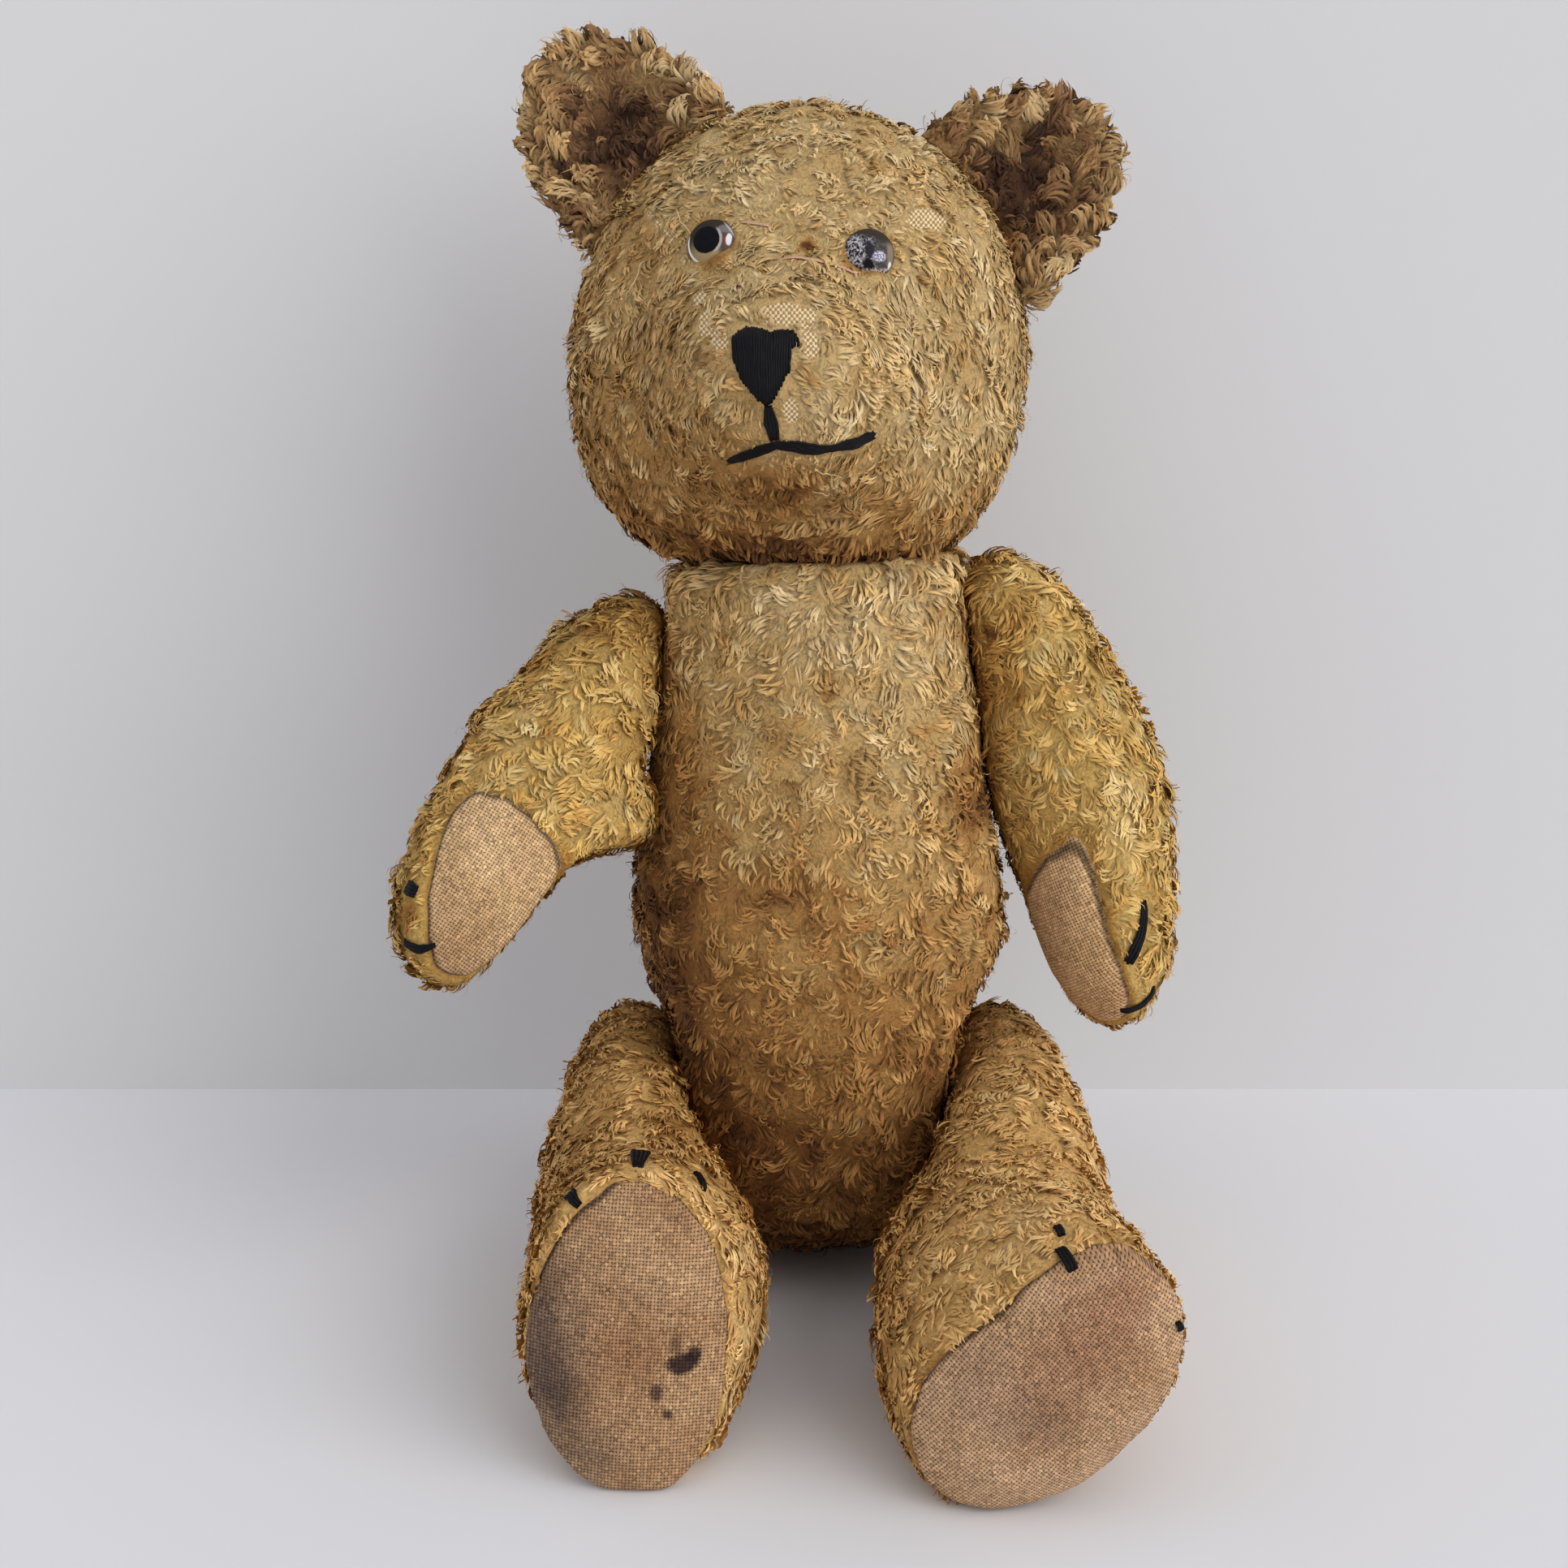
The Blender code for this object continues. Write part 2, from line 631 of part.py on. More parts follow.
def make_eye(side, tree, head_cover, parent):
    """A clear glass eye, domed in front, with its black pupil in a recess behind; pulled into the cover."""
    x, z = EYE_PLACES[side]
    point, normal = face_point(tree, x, z)
    forward = head_place().to_3x3() @ Vector((0, -1, 0))
    seat = joint_place(point, (normal + forward).normalized(), Vector((1, 0, 0)))
    dome = [(EYE_RADIUS, 0), (EYE_RADIUS, 0.0009)]
    for step in range(1, 5):
        turn = radians(22.5 * step)
        dome.append((EYE_RADIUS * cos(turn), 0.0009 + (EYE_HEIGHT - 0.0009) * sin(turn)))
    dome[-1] = (0, EYE_HEIGHT)
    recess = PUPIL_RADIUS + GAP
    glass = [(0, PUPIL_HEIGHT + GAP), (recess, PUPIL_HEIGHT + GAP), (recess, 0)] + dome
    piece(side + "_eye_glass", turned(glass, 16, seat), "clear_glass", parent)
    pupil = [(0, 0), (PUPIL_RADIUS, 0), (PUPIL_RADIUS, PUPIL_HEIGHT), (0, PUPIL_HEIGHT)]
    piece(side + "_eye_pupil", turned(pupil, 12, seat), "black_glass", parent)
    around = EYE_RADIUS + GAP
    socket = turned([(0, -GAP), (around, -GAP), (around, 3 * EYE_HEIGHT), (0, 3 * EYE_HEIGHT)], 16, seat)
    cut(head_cover, guide(side + "_eye_cutter", socket))


def make_nose(tree, parent):
    """A shield of satin stitches: straight on top, pointed below."""
    bm = bmesh.new()
    rounds, layers = 16, (1.0, 0.72, 0.4)
    tops, bases = [], []
    middle = NOSE_TOP - NOSE_TALL * 0.42

    def spot(turn, size):
        x, z = cos(turn), sin(turn)
        if z > 0:
            square = max(abs(x), abs(z) * 1.05)
            return NOSE_HALF_WIDTH * x / square * size, middle + 0.42 * NOSE_TALL * z / square * size
        taper = (1 - abs(z)) ** 0.55
        return NOSE_HALF_WIDTH * taper * size * (1 if x >= 0 else -1), middle + 0.58 * NOSE_TALL * z * size

    for size in layers:
        lift = GAP + 0.0002 + NOSE_THICK * (1 - size * size) ** 0.5
        top, base = [], []
        for step in range(rounds):
            x, z = spot(2 * pi * step / rounds, size)
            point, normal = face_point(tree, NOSE_ACROSS + x, z)
            base.append(bm.verts.new(point + normal * (GAP + 0.0001)))
            top.append(bm.verts.new(point + normal * (lift + 0.0004)))
        tops.append(top)
        bases.append(base)
    point, normal = face_point(tree, NOSE_ACROSS, middle)
    top_middle = bm.verts.new(point + normal * (GAP + NOSE_THICK + 0.0006))
    base_middle = bm.verts.new(point + normal * (GAP + 0.0001))
    loops = [bases[2], bases[1], bases[0], tops[0], tops[1], tops[2]]
    for lower, upper in zip(loops, loops[1:]):
        for k in range(rounds):
            bm.faces.new((lower[k], lower[(k + 1) % rounds], upper[(k + 1) % rounds], upper[k]))
    for k in range(rounds):
        bm.faces.new((top_middle, tops[2][k], tops[2][(k + 1) % rounds]))
        bm.faces.new((base_middle, bases[2][(k + 1) % rounds], bases[2][k]))
    piece("nose_stitching", bm, "black_thread", parent)


def make_ear(side, skull, parent):
    """A cupped half disc of two layers sewn together, its root shaped to the head."""
    bm = bmesh.new()
    bmesh.ops.create_uvsphere(bm, u_segments=22, v_segments=14, radius=1)
    angle, seat = EARS[side]
    place = head_place() @ Matrix.Rotation(angle, 4, "Y")
    for vert in bm.verts:
        across, thick, out = vert.co.x, vert.co.y, vert.co.z
        rim = across * across + out * out
        vert.co = place @ Vector((
            EAR_HALF_WIDTH * across,
            EAR_THICK * thick + EAR_CUP * (0.55 - rim),
            seat + EAR_HEIGHT * out + 0.006,
        ))
    ear = piece(side + "_ear", bm, "ear_plush", parent)
    cut(ear, skull)


def make_head(body_cover, body_filling):
    place, _ = JOINTS["neck"]
    parent = pivot("neck_pivot", place)
    form = head_form(HEAD_MESH)
    tree = surface_of(form)
    cover = shell("head_cover", form, "plush", parent)
    stuffing = filling("head_stuffing", head_form(HEAD_FILL_MESH), FILL_GAPS["head"], parent)
    disc_joint("neck", "head", parent, body_cover, body_filling, cover, stuffing)
    around = head_form(HEAD_MESH, pressed=False)
    inset(around, -GAP)
    skull = guide("skull_cutter", around)
    for side in SIDES:
        make_ear(side, skull, parent)
        make_eye(side, tree, cover, parent)
    make_nose(tree, parent)
    for name, line, steps in (("nose_to_mouth_stitch", LIP_STITCH, 3), ("mouth_stitch", MOUTH_LINE, 2)):
        route = [spot for start, end in zip(line, line[1:]) for spot in between(start, end, steps)[:-1]]
        points = [face_point(tree, x, z) for x, z in route + [line[-1]]]
        stitch(name, points, STITCH_WIDE, STITCH_HIGH, parent)


def make_arm(side, body_cover, body_filling):
    joint = side + "_shoulder"
    place, _ = JOINTS[joint]
    parent = pivot(joint + "_pivot", place)
    form = arm_form(side, ARM_MESH)
    tree = surface_of(form)
    cover = shell(side + "_arm_cover", form, "plush", parent)
    stuffing = filling(side + "_arm_stuffing", arm_form(side, ARM_FILL_MESH), FILL_GAPS["arm"], parent)
    sewn_pad(side + "_paw_pad", arm_form(side, ARM_MESH), cover, *paw_seam(side), parent)
    disc_joint(joint, "arm", parent, body_cover, body_filling, cover, stuffing)
    forward, out, up = place.col[0].to_3d(), place.col[2].to_3d(), side_up(place)

    def section(distance):
        t = arm_share(side, distance)
        return place.translation + forward * distance + out * along(ARMS[side]["rows"], t)[0], out, up, 0, 0

    for number, ends in enumerate(ARMS[side]["claws"], 1):
        limb_claw(f"{side}_paw_claw_{number}", tree, section, ends, parent)


def make_leg(side, body_cover, body_filling):
    joint = side + "_hip"
    place, _ = JOINTS[joint]
    parent = pivot(joint + "_pivot", place)
    form = leg_form(side, LEG_MESH)
    tree = surface_of(form)
    cover = shell(side + "_leg_cover", form, "plush", parent)
    stuffing = filling(side + "_leg_stuffing", leg_form(side, LEG_FILL_MESH), FILL_GAPS["leg"], parent)
    sewn_pad(side + "_foot_pad", leg_form(side, LEG_MESH), cover, *sole_seam(side), parent)
    disc_joint(joint, "leg", parent, body_cover, body_filling, cover, stuffing)

    def section(distance):
        return leg_section(side, (distance - LEG_BACK) / (LEGS[side]["reach"] - LEG_BACK))

    for number, ends in enumerate(LEGS[side]["claws"], 1):
        limb_claw(f"{side}_foot_claw_{number}", tree, section, ends, parent)


def main():
    for old in list(bpy.data.objects):
        bpy.data.objects.remove(old)
    body_cover, body_filling = make_body()
    make_head(body_cover, body_filling)
    for side in SIDES:
        make_arm(side, body_cover, body_filling)
        make_leg(side, body_cover, body_filling)
    bpy.context.view_layer.update()


main()
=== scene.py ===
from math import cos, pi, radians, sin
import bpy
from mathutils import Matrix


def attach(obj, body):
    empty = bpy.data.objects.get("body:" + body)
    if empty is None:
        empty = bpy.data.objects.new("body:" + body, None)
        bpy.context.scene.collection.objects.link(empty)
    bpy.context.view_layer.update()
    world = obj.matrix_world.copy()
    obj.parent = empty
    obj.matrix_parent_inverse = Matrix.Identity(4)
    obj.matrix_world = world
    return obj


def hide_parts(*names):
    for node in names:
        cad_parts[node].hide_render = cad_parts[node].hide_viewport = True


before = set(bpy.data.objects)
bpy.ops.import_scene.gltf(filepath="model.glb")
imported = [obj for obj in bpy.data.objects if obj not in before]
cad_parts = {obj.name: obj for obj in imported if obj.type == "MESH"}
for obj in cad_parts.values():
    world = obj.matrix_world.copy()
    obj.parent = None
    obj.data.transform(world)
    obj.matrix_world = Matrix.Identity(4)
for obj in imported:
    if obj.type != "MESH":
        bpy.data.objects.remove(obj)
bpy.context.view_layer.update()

# A worn, jointed teddy bear, sitting. Its sewn skins, curled pile, woven pads, glass eyes and
# stitches are made here round the covers and the joint hardware of the frame.
from types import SimpleNamespace

import bmesh
import bpy
import numpy as np
from mathutils import Vector, kdtree, noise
from mathutils.bvhtree import BVHTree

mm = 0.001
sides = ("right", "left")


def twoSided(operation):
    # the methods behind x + 1 and 1 + x, or their like
    return (lambda self, other: self.maths(operation, self, other),
            lambda self, other: self.maths(operation, other, self))


def oneSided(operation):
    return lambda self: self.maths(operation, self)


class Term:
    # a socket that takes part in sums, so that shader maths reads as plain Python
    def __init__(self, finish, socket):
        self.finish, self.socket = finish, socket

    def maths(self, operation, first, second=None):
        inputs = {0: first} if second is None else {0: first, 1: second}
        return self.finish.node("ShaderNodeMath", {"operation": operation}, inputs)

    __add__, __radd__ = twoSided("ADD")
    __sub__, __rsub__ = twoSided("SUBTRACT")
    __mul__, __rmul__ = twoSided("MULTIPLY")
    __truediv__, __rtruediv__ = twoSided("DIVIDE")
    __pow__, __rpow__ = twoSided("POWER")
    highest = twoSided("MAXIMUM")[0]
    size, wave, whole, part = map(oneSided, ("ABSOLUTE", "SINE", "FLOOR", "FRACT"))

    def over(self, low, high, to=(0.0, 1.0)):
        # where this value lies between low and high, smoothly
        return self.finish.node("ShaderNodeMapRange", {"interpolation_type": "SMOOTHSTEP"}, {
            "Value": self, "From Min": low, "From Max": high, "To Min": to[0], "To Max": to[1]})


class Finish:
    # one material: a Principled shader and the nodes that feed it
    def __init__(self, name, **fixed):
        self.material = bpy.data.materials.new(name)
        self.material.use_nodes = True
        self.tree = self.material.node_tree
        self.tree.nodes.clear()
        self.shader = self.tree.nodes.new("ShaderNodeBsdfPrincipled")
        self.output = self.tree.nodes.new("ShaderNodeOutputMaterial")
        self.tree.links.new(self.shader.outputs[0], self.output.inputs["Surface"])
        for socket, value in fixed.items():
            self.set(socket.replace("_", " "), value)

    def put(self, socket, value):
        if isinstance(value, Term):
            self.tree.links.new(value.socket, socket)
        elif socket.type == "RGBA" and len(value) == 3:
            socket.default_value = (*value, 1.0)
        else:
            socket.default_value = value

    def set(self, socket, value):
        self.put(self.shader.inputs[socket], value)

    def node(self, kind, settings=None, inputs=None, out=0):
        made = self.tree.nodes.new(kind)
        for key, value in (settings or {}).items():
            if key == "stops":
                ramp = made.color_ramp.elements
                while len(ramp) > 1:
                    ramp.remove(ramp[-1])
                ramp[0].position, ramp[0].color = value[0][0], (*value[0][1], 1.0)
                for place, colour in value[1:]:
                    ramp.new(place).color = (*colour, 1.0)
            else:
                setattr(made, key, value)
        for key, value in (inputs or {}).items():
            self.put(made.inputs[key], value)
        return Term(self, made.outputs[out])

    def mix(self, share, first, second, blend="MIX"):
        # Mix has separate sockets for numbers and colours, so these go by place
        return self.node("ShaderNodeMix", {"data_type": "RGBA", "blend_type": blend},
                         {0: share, 6: first, 7: second}, 2)

    def place(self):
        return self.node("ShaderNodeTexCoord", out="Object")

    def noise(self, scale, detail=2.0, rough=0.5, where=None, distort=0.0):
        return self.node("ShaderNodeTexNoise", {}, {"Vector": where or self.place(), "Scale": scale,
                         "Detail": detail, "Roughness": rough, "Distortion": distort}, "Fac")

    def cells(self, scale, where, out="Distance", kind="F1"):
        return self.node("ShaderNodeTexVoronoi", {"feature": kind}, {"Vector": where, "Scale": scale}, out)

    def vertexValue(self, name):
        return self.node("ShaderNodeAttribute", {"attribute_name": name}, {}, "Fac")

    def bump(self, height, strength, distance):
        self.set("Normal", self.node("ShaderNodeBump", {}, {
            "Strength": strength, "Distance": distance, "Height": height}))

    def vectors(self, operation, first, second=(0, 0, 0), out=0):
        return self.node("ShaderNodeVectorMath", {"operation": operation}, {0: first, 1: second}, out)

    def scaled(self, colour, share):
        return self.node("ShaderNodeVectorMath", {"operation": "SCALE"}, {0: colour, "Scale": share})

    def towards(self, where, way, start=(0, 0, 0)):
        # how far a place is from start along a direction
        return self.vectors("DOT_PRODUCT", self.vectors("SUBTRACT", where, tuple(start)), tuple(way), "Value")

    def split(self, vector, axis):
        return self.node("ShaderNodeSeparateXYZ", {}, {0: vector}, axis)

    def join(self, x, y, z=0.0):
        return self.node("ShaderNodeCombineXYZ", {}, {0: x, 1: y, 2: z})


# each part of the bear fades along its own row of plush colours, from light to dark: dirt and painted shade
# both move it along
plushTones = {
    "head": ((0.0, (0.76, 0.585, 0.33)), (0.3, (0.62, 0.42, 0.18)), (0.6, (0.47, 0.25, 0.078)),
             (0.85, (0.27, 0.118, 0.034)), (1.0, (0.10, 0.042, 0.018))),
    "body": ((0.0, (0.78, 0.60, 0.33)), (0.3, (0.63, 0.405, 0.155)), (0.6, (0.47, 0.24, 0.073)),
             (0.85, (0.26, 0.112, 0.034)), (1.0, (0.09, 0.038, 0.018))),
    "arm": ((0.0, (0.82, 0.62, 0.28)), (0.3, (0.66, 0.415, 0.125)), (0.6, (0.49, 0.25, 0.060)),
            (0.85, (0.27, 0.115, 0.03)), (1.0, (0.09, 0.038, 0.016))),
    "leg": ((0.0, (0.92, 0.65, 0.30)), (0.3, (0.77, 0.47, 0.17)), (0.6, (0.46, 0.235, 0.066)),
            (0.85, (0.26, 0.11, 0.03)), (1.0, (0.09, 0.038, 0.016))),
    "ear": ((0.0, (0.74, 0.55, 0.29)), (0.3, (0.53, 0.33, 0.14)), (0.6, (0.33, 0.175, 0.075)),
            (0.85, (0.15, 0.075, 0.038)), (1.0, (0.055, 0.028, 0.018))),
}
# a lock of pile takes one column of the map: so many steps of tone, and of lightness in each tone
pileMap = {"tones": 12, "lights": 4, "streaks": 0.95, "tipLight": 1.06,
           "rootLight": {"head": 0.50, "body": 0.46, "arm": 0.64, "leg": 0.70, "ear": 0.42}}
pileMap["columns"] = pileMap["tones"] * pileMap["lights"]


def pileFinish(part):
    # fine fibres run up each lock, with painted shade towards its root where the locks shade each other
    made = Finish(part + "Pile", Roughness=0.75, Specular_IOR_Level=0.12)
    where = made.node("ShaderNodeUVMap", {"uv_map": "OFBake"})
    across, up = made.split(where, 0) * pileMap["columns"], made.split(where, 1)
    column = across.whole()
    toneStep = (column / pileMap["lights"]).whole()
    lightStep = column - toneStep * pileMap["lights"]
    colour = made.node("ShaderNodeValToRGB", {"stops": plushTones[part]},
                       {"Fac": (toneStep + 0.5) / pileMap["tones"]})
    fibre = made.noise(1.0, 2, 0.65, made.join(across * 4.5, up * 1.1))
    edge = (across.part() * 2 - 1).size().over(0.72, 1.0, (1.0, 0.84))
    light = up.over(0.0, 0.55, (pileMap["rootLight"][part], pileMap["tipLight"]))
    light = light * ((fibre - 0.5) * pileMap["streaks"] + 1) * edge * (lightStep * 0.14 + 0.79)
    made.set("Base Color", made.scaled(colour, light))
    return made.material


backing = {"rib": 1.4 * mm, "cross": 1.3 * mm, "shade": (0.38, 0.23, 0.095), "dull": (0.80, 0.60, 0.34),
           "pale": (0.95, 0.78, 0.50)}


def skinFinish(part):
    # the matted ground of the pile, with the bare weave where it has worn off
    made = Finish(part + "Skin", Roughness=0.9, Specular_IOR_Level=0.08)
    where = made.place()
    mat = made.noise(1300, 3, 0.6, where, 0.8)
    tuft = made.noise(520, 2, 0.6, where, 1.6)
    tone = made.vertexValue("tone") + (tuft - 0.5) * 0.3
    colour = made.node("ShaderNodeValToRGB", {"stops": plushTones[part]}, {"Fac": tone})
    light = (mat - 0.5) * 0.55 + tuft.over(0.32, 0.62, (0.52, 0.92))
    rib = (made.split(where, 2) * (2 * pi / backing["rib"]) + mat * 3).wave()
    cross = (made.split(where, 0) * (2 * pi / backing["cross"]) + mat * 3).wave()
    weave = (rib * cross + (mat - 0.5) * 2.4).over(-0.6, 0.6)
    cloth = made.mix(weave, backing["shade"], made.mix(tuft, backing["dull"], backing["pale"]))
    bare = (made.vertexValue("bare") + (tuft - 0.5) * 0.9).over(0.35, 0.65)
    made.set("Base Color", made.mix(bare, made.scaled(colour, light), cloth))
    made.bump((mat * 0.5 + tuft) * (1 - bare) + weave * bare * 0.5, 0.7, 0.0006)
    return made.material


def padFinish(name, look, seam):
    # plain weave in the pad's own plane: warp and weft pass over and under each other
    made = Finish(name, Roughness=0.88, Sheen_Weight=0.08, Sheen_Roughness=0.4, Specular_IOR_Level=0.12)
    where = made.place()
    middle = seam.middle
    slant = radians(look["slant"])
    up, side = (seam.level * cos(slant) + seam.beside * sin(slant),
                seam.beside * cos(slant) - seam.level * sin(slant))
    wobble = made.noise(110, 2, 0.5, where) * 1.6
    turn = pi / padLook["pitch"]
    warpAt = made.towards(where, side, middle) * turn + wobble
    weftAt = made.towards(where, up, middle) * turn + wobble
    warp, weft = warpAt.wave().size(), weftAt.wave().size()
    over = (warpAt + pi / 2).wave() * (weftAt + pi / 2).wave()
    height = made.node("ShaderNodeMix", {"data_type": "FLOAT"},
                       {0: over.over(-0.3, 0.3), 2: warp, 3: weft})
    gap = (1 - warp) * (1 - weft)
    # each thread is a little lighter or darker along its length
    warpSlub = made.noise(1.0, 2, 0.6, made.join((warpAt / pi).whole() * 3.7, weftAt * 0.4, 2.0))
    weftSlub = made.noise(1.0, 2, 0.6, made.join((weftAt / pi).whole() * 3.7, warpAt * 0.4, 9.0))
    thread = made.noise(1500, 2, 0.6, where)
    knot = made.noise(1.0, 1, 0.6, made.join((warpAt / pi).whole() * 1.37, (weftAt / pi).whole() * 1.71, 4.0))
    cloudy = made.noise(50, 4, 0.62, where)
    colour = made.mix(cloudy.over(0.35, 0.7), look["clean"], look["faded"])
    fine = made.noise(330, 3, 0.7, where)
    for at, reach, soft, tint, strength in look["stains"]:
        off = made.vectors("SUBTRACT", where, tuple(v * mm for v in at))
        off = made.vectors("DIVIDE", off, tuple(v * mm for v in reach))
        far = made.vectors("LENGTH", off, out="Value")
        deep = (far + (fine - 0.5) * 0.7 + gap * -0.25).over(1 + soft * 0.4, 1 - soft)
        colour = made.mix(deep * strength, colour, tint)
    light = ((thread - 0.5) * 0.4 + (warpSlub + weftSlub - 1) * 0.9 + (knot - 0.5) * 1.5 + height * 0.36
             + look["light"])
    light = light * (1 - gap.over(0.10, 0.5) * look["gaps"])
    light = light * made.vertexValue("seam").over(0.1, 1.3, (0.25, 1.0))
    colour = made.mix(gap.over(0.1, 0.5) * 0.5, colour, made.scaled(colour, 0.6))
    made.set("Base Color", made.scaled(colour, light.highest(0.05)))
    made.bump(height - gap, 0.5, 0.0003)
    return made.material


def threadFinish(name, colour, shine):
    # twisted cotton, lighter where it is rubbed
    made = Finish(name, Roughness=shine, Specular_IOR_Level=0.14)
    where = made.place()
    rubbed = made.noise(420, 3, 0.6, where)
    fibre = made.noise(2600, 2, 0.6, where)
    worn = [c * 1.8 + 0.004 for c in colour]
    made.set("Base Color", made.scaled(made.mix(rubbed.over(0.55, 0.8), colour, worn), fibre * 0.8 + 0.6))
    made.bump(fibre, 0.5, 0.00012)
    return made.material


def cloud(places, size, seed):
    # smooth random values from about -1 to 1
    shift = Vector((seed * 7.3, seed * 3.1, seed * 5.7))
    return np.array([noise.noise(Vector(p) / size + shift) for p in places]) * 1.5


def rise(values, low, high):
    t = np.clip((values - low) / (high - low), 0, 1)
    return t * t * (3 - 2 * t)


def unit(vectors):
    return vectors / np.maximum(np.linalg.norm(vectors, axis=-1, keepdims=True), 1e-12)


def coordsOf(mesh):
    flat = np.empty(len(mesh.vertices) * 3)
    mesh.vertices.foreach_get("co", flat)
    return flat.reshape(-1, 3)


def normalsOf(mesh):
    flat = np.empty(len(mesh.vertices) * 3)
    mesh.vertices.foreach_get("normal", flat)
    return flat.reshape(-1, 3)


def setCoords(mesh, places):
    mesh.vertices.foreach_set("co", places.astype(np.float32).ravel())
    mesh.update()


def smooth(mesh):
    for face in mesh.polygons:
        face.use_smooth = True


def meshOf(form, name):
    mesh = bpy.data.meshes.new(name)
    form.to_mesh(mesh)
    form.free()
    return mesh


def nodeCoords(node):
    return coordsOf(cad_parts[node].data)


def joined(nodes):
    whole = bmesh.new()
    for node in nodes:
        whole.from_mesh(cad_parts[node].data)
    return whole


def skinTree(made):
    mesh = made.data
    return BVHTree.FromPolygons([v.co for v in mesh.vertices], [tuple(f.vertices) for f in mesh.polygons])


def distances(tree, places, reach):
    found = np.full(len(places), reach)
    for i, p in enumerate(places):
        hit = tree.find_nearest(Vector(p), reach)
        if hit[0] is not None:
            found[i] = hit[3]
    return found


def lineDistances(places, line):
    # from each place to the nearest point of a line through several points
    found = np.full(len(places), 1.0)
    for start, end in zip(line[:-1], line[1:]):
        start, end = np.array(start), np.array(end)
        along = end - start
        t = np.clip((places - start) @ along / max(along @ along, 1e-12), 0, 1)
        found = np.minimum(found, np.linalg.norm(places - start - t[:, None] * along, axis=1))
    return found


def insideOutline(across, up, outline):
    inside = np.zeros(len(across), bool)
    for (x1, z1), (x2, z2) in zip(outline, outline[1:] + outline[:1]):
        if z1 != z2:
            crosses = (z1 > up) != (z2 > up)
            inside ^= crosses & (across < (x2 - x1) * (up - z1) / (z2 - z1) + x1)
    return inside


skinForm = {"inside": 0.15 * mm, "coarse": 1.4, "smoothing": 2, "lump": 0.35 * mm, "lumpSize": 11 * mm,
            "fill": 0.9, "seamDeep": 0.8 * mm, "seamWide": 1.4 * mm, "pressed": 2.5 * mm, "floor": 0.3 * mm,
            "woolIn": 1.6 * mm, "woolFill": 0.8}


def tempObject(name, mesh):
    made = bpy.data.objects.new(name, mesh)
    bpy.context.scene.collection.objects.link(made)
    return made


def applied(made):
    graph = bpy.context.evaluated_depsgraph_get()
    result = bpy.data.meshes.new_from_object(made.evaluated_get(graph))
    old = made.data
    made.modifiers.clear()
    made.data = result
    bpy.data.meshes.remove(old)


def evened(made, voxel, smoothing, target=None):
    remesh = made.modifiers.new("even", "REMESH")
    remesh.mode, remesh.voxel_size = "VOXEL", voxel
    if target:
        cling = made.modifiers.new("cling", "SHRINKWRAP")
        cling.target, cling.wrap_method = target, "NEAREST_SURFACEPOINT"
    soften = made.modifiers.new("soften", "SMOOTH")
    soften.factor, soften.iterations = 0.5, smoothing
    applied(made)


def sewnForm(name, nodes, voxel):
    # one smooth surface drawn over a cover and its pad
    hull = bmesh.new()
    for node in nodes:
        for p in nodeCoords(node):
            hull.verts.new(p)
    bmesh.ops.convex_hull(hull, input=hull.verts)
    bmesh.ops.delete(hull, geom=[v for v in hull.verts if not v.link_faces], context="VERTS")
    made = tempObject(name, meshOf(hull, name))
    target = tempObject(name + "Target", meshOf(joined(nodes), "target"))
    for share in (skinForm["coarse"], 1.0):
        evened(made, voxel * share, skinForm["smoothing"], target)
    targetMesh = target.data
    bpy.data.objects.remove(target)
    bpy.data.meshes.remove(targetMesh)
    smooth(made.data)
    return made


def settle(made, seed):
    # uneven as stuffed cloth is
    places, normals = coordsOf(made.data), normalsOf(made.data)
    places -= normals * skinForm["inside"]
    places += normals * (cloud(places, skinForm["lumpSize"], seed) * skinForm["lump"])[:, None]
    places[:, 2] = np.maximum(places[:, 2], skinForm["floor"])
    setCoords(made.data, places)


def flattened(made, flats):
    # presses a form in where it passes a plane: a point, the way out, and how much of the rest stays
    places, soft = coordsOf(made.data), skinForm["pressed"]
    for at, way, stays in flats:
        way = np.array(way) / np.linalg.norm(way)
        past = (places - np.array(at) * mm) @ way
        held = np.where(past > -soft, -soft + (past + soft) * stays + (1 - stays) * soft
                        * (1 - np.exp(-np.maximum(past + soft, 0) / soft)), past)
        places += (held - past)[:, None] * way
    setCoords(made.data, places)


def nudged(made, moves):
    # eases a form along: where, how far round it, and the move
    places = coordsOf(made.data)
    for at, reach, move in moves:
        away = np.linalg.norm((places / mm - np.array(at)) / np.array(reach), axis=1)
        places += np.outer(1 - rise(away, 0, 1), np.array(move) * mm)
    setCoords(made.data, places)


class Seam:
    # where a pad is sewn on: a plane through a point, and how the seam bends off it
    def __init__(self, middle, facing, bend, reach):
        self.middle, self.facing = Vector(middle) * mm, Vector(facing).normalized()
        self.level = (Vector((0, 0, 1)) - self.facing * self.facing.z).normalized()
        self.beside = self.level.cross(self.facing)
        self.bend, self.reach = bend, reach

    def stands(self, place):
        # how far the seam stands out of its plane beside a place; bend is in millimetres and centimetres
        off = place - self.middle
        u, v = off.dot(self.beside) * 100, off.dot(self.level) * 100
        far = max(1.0, (u * u + v * v) ** 0.5 / self.reach)
        u, v = u / far, v / far
        waves = (u * u - v * v, u * v, u ** 3 - 3 * u * v * v, 3 * u * u * v - v ** 3)
        return sum(share * wave for share, wave in zip(self.bend, waves)) * mm

    def beyondOne(self, place):
        return (place - self.middle).dot(self.facing) - self.stands(place)

    def beyond(self, places):
        return np.array([self.beyondOne(Vector(p)) for p in places])


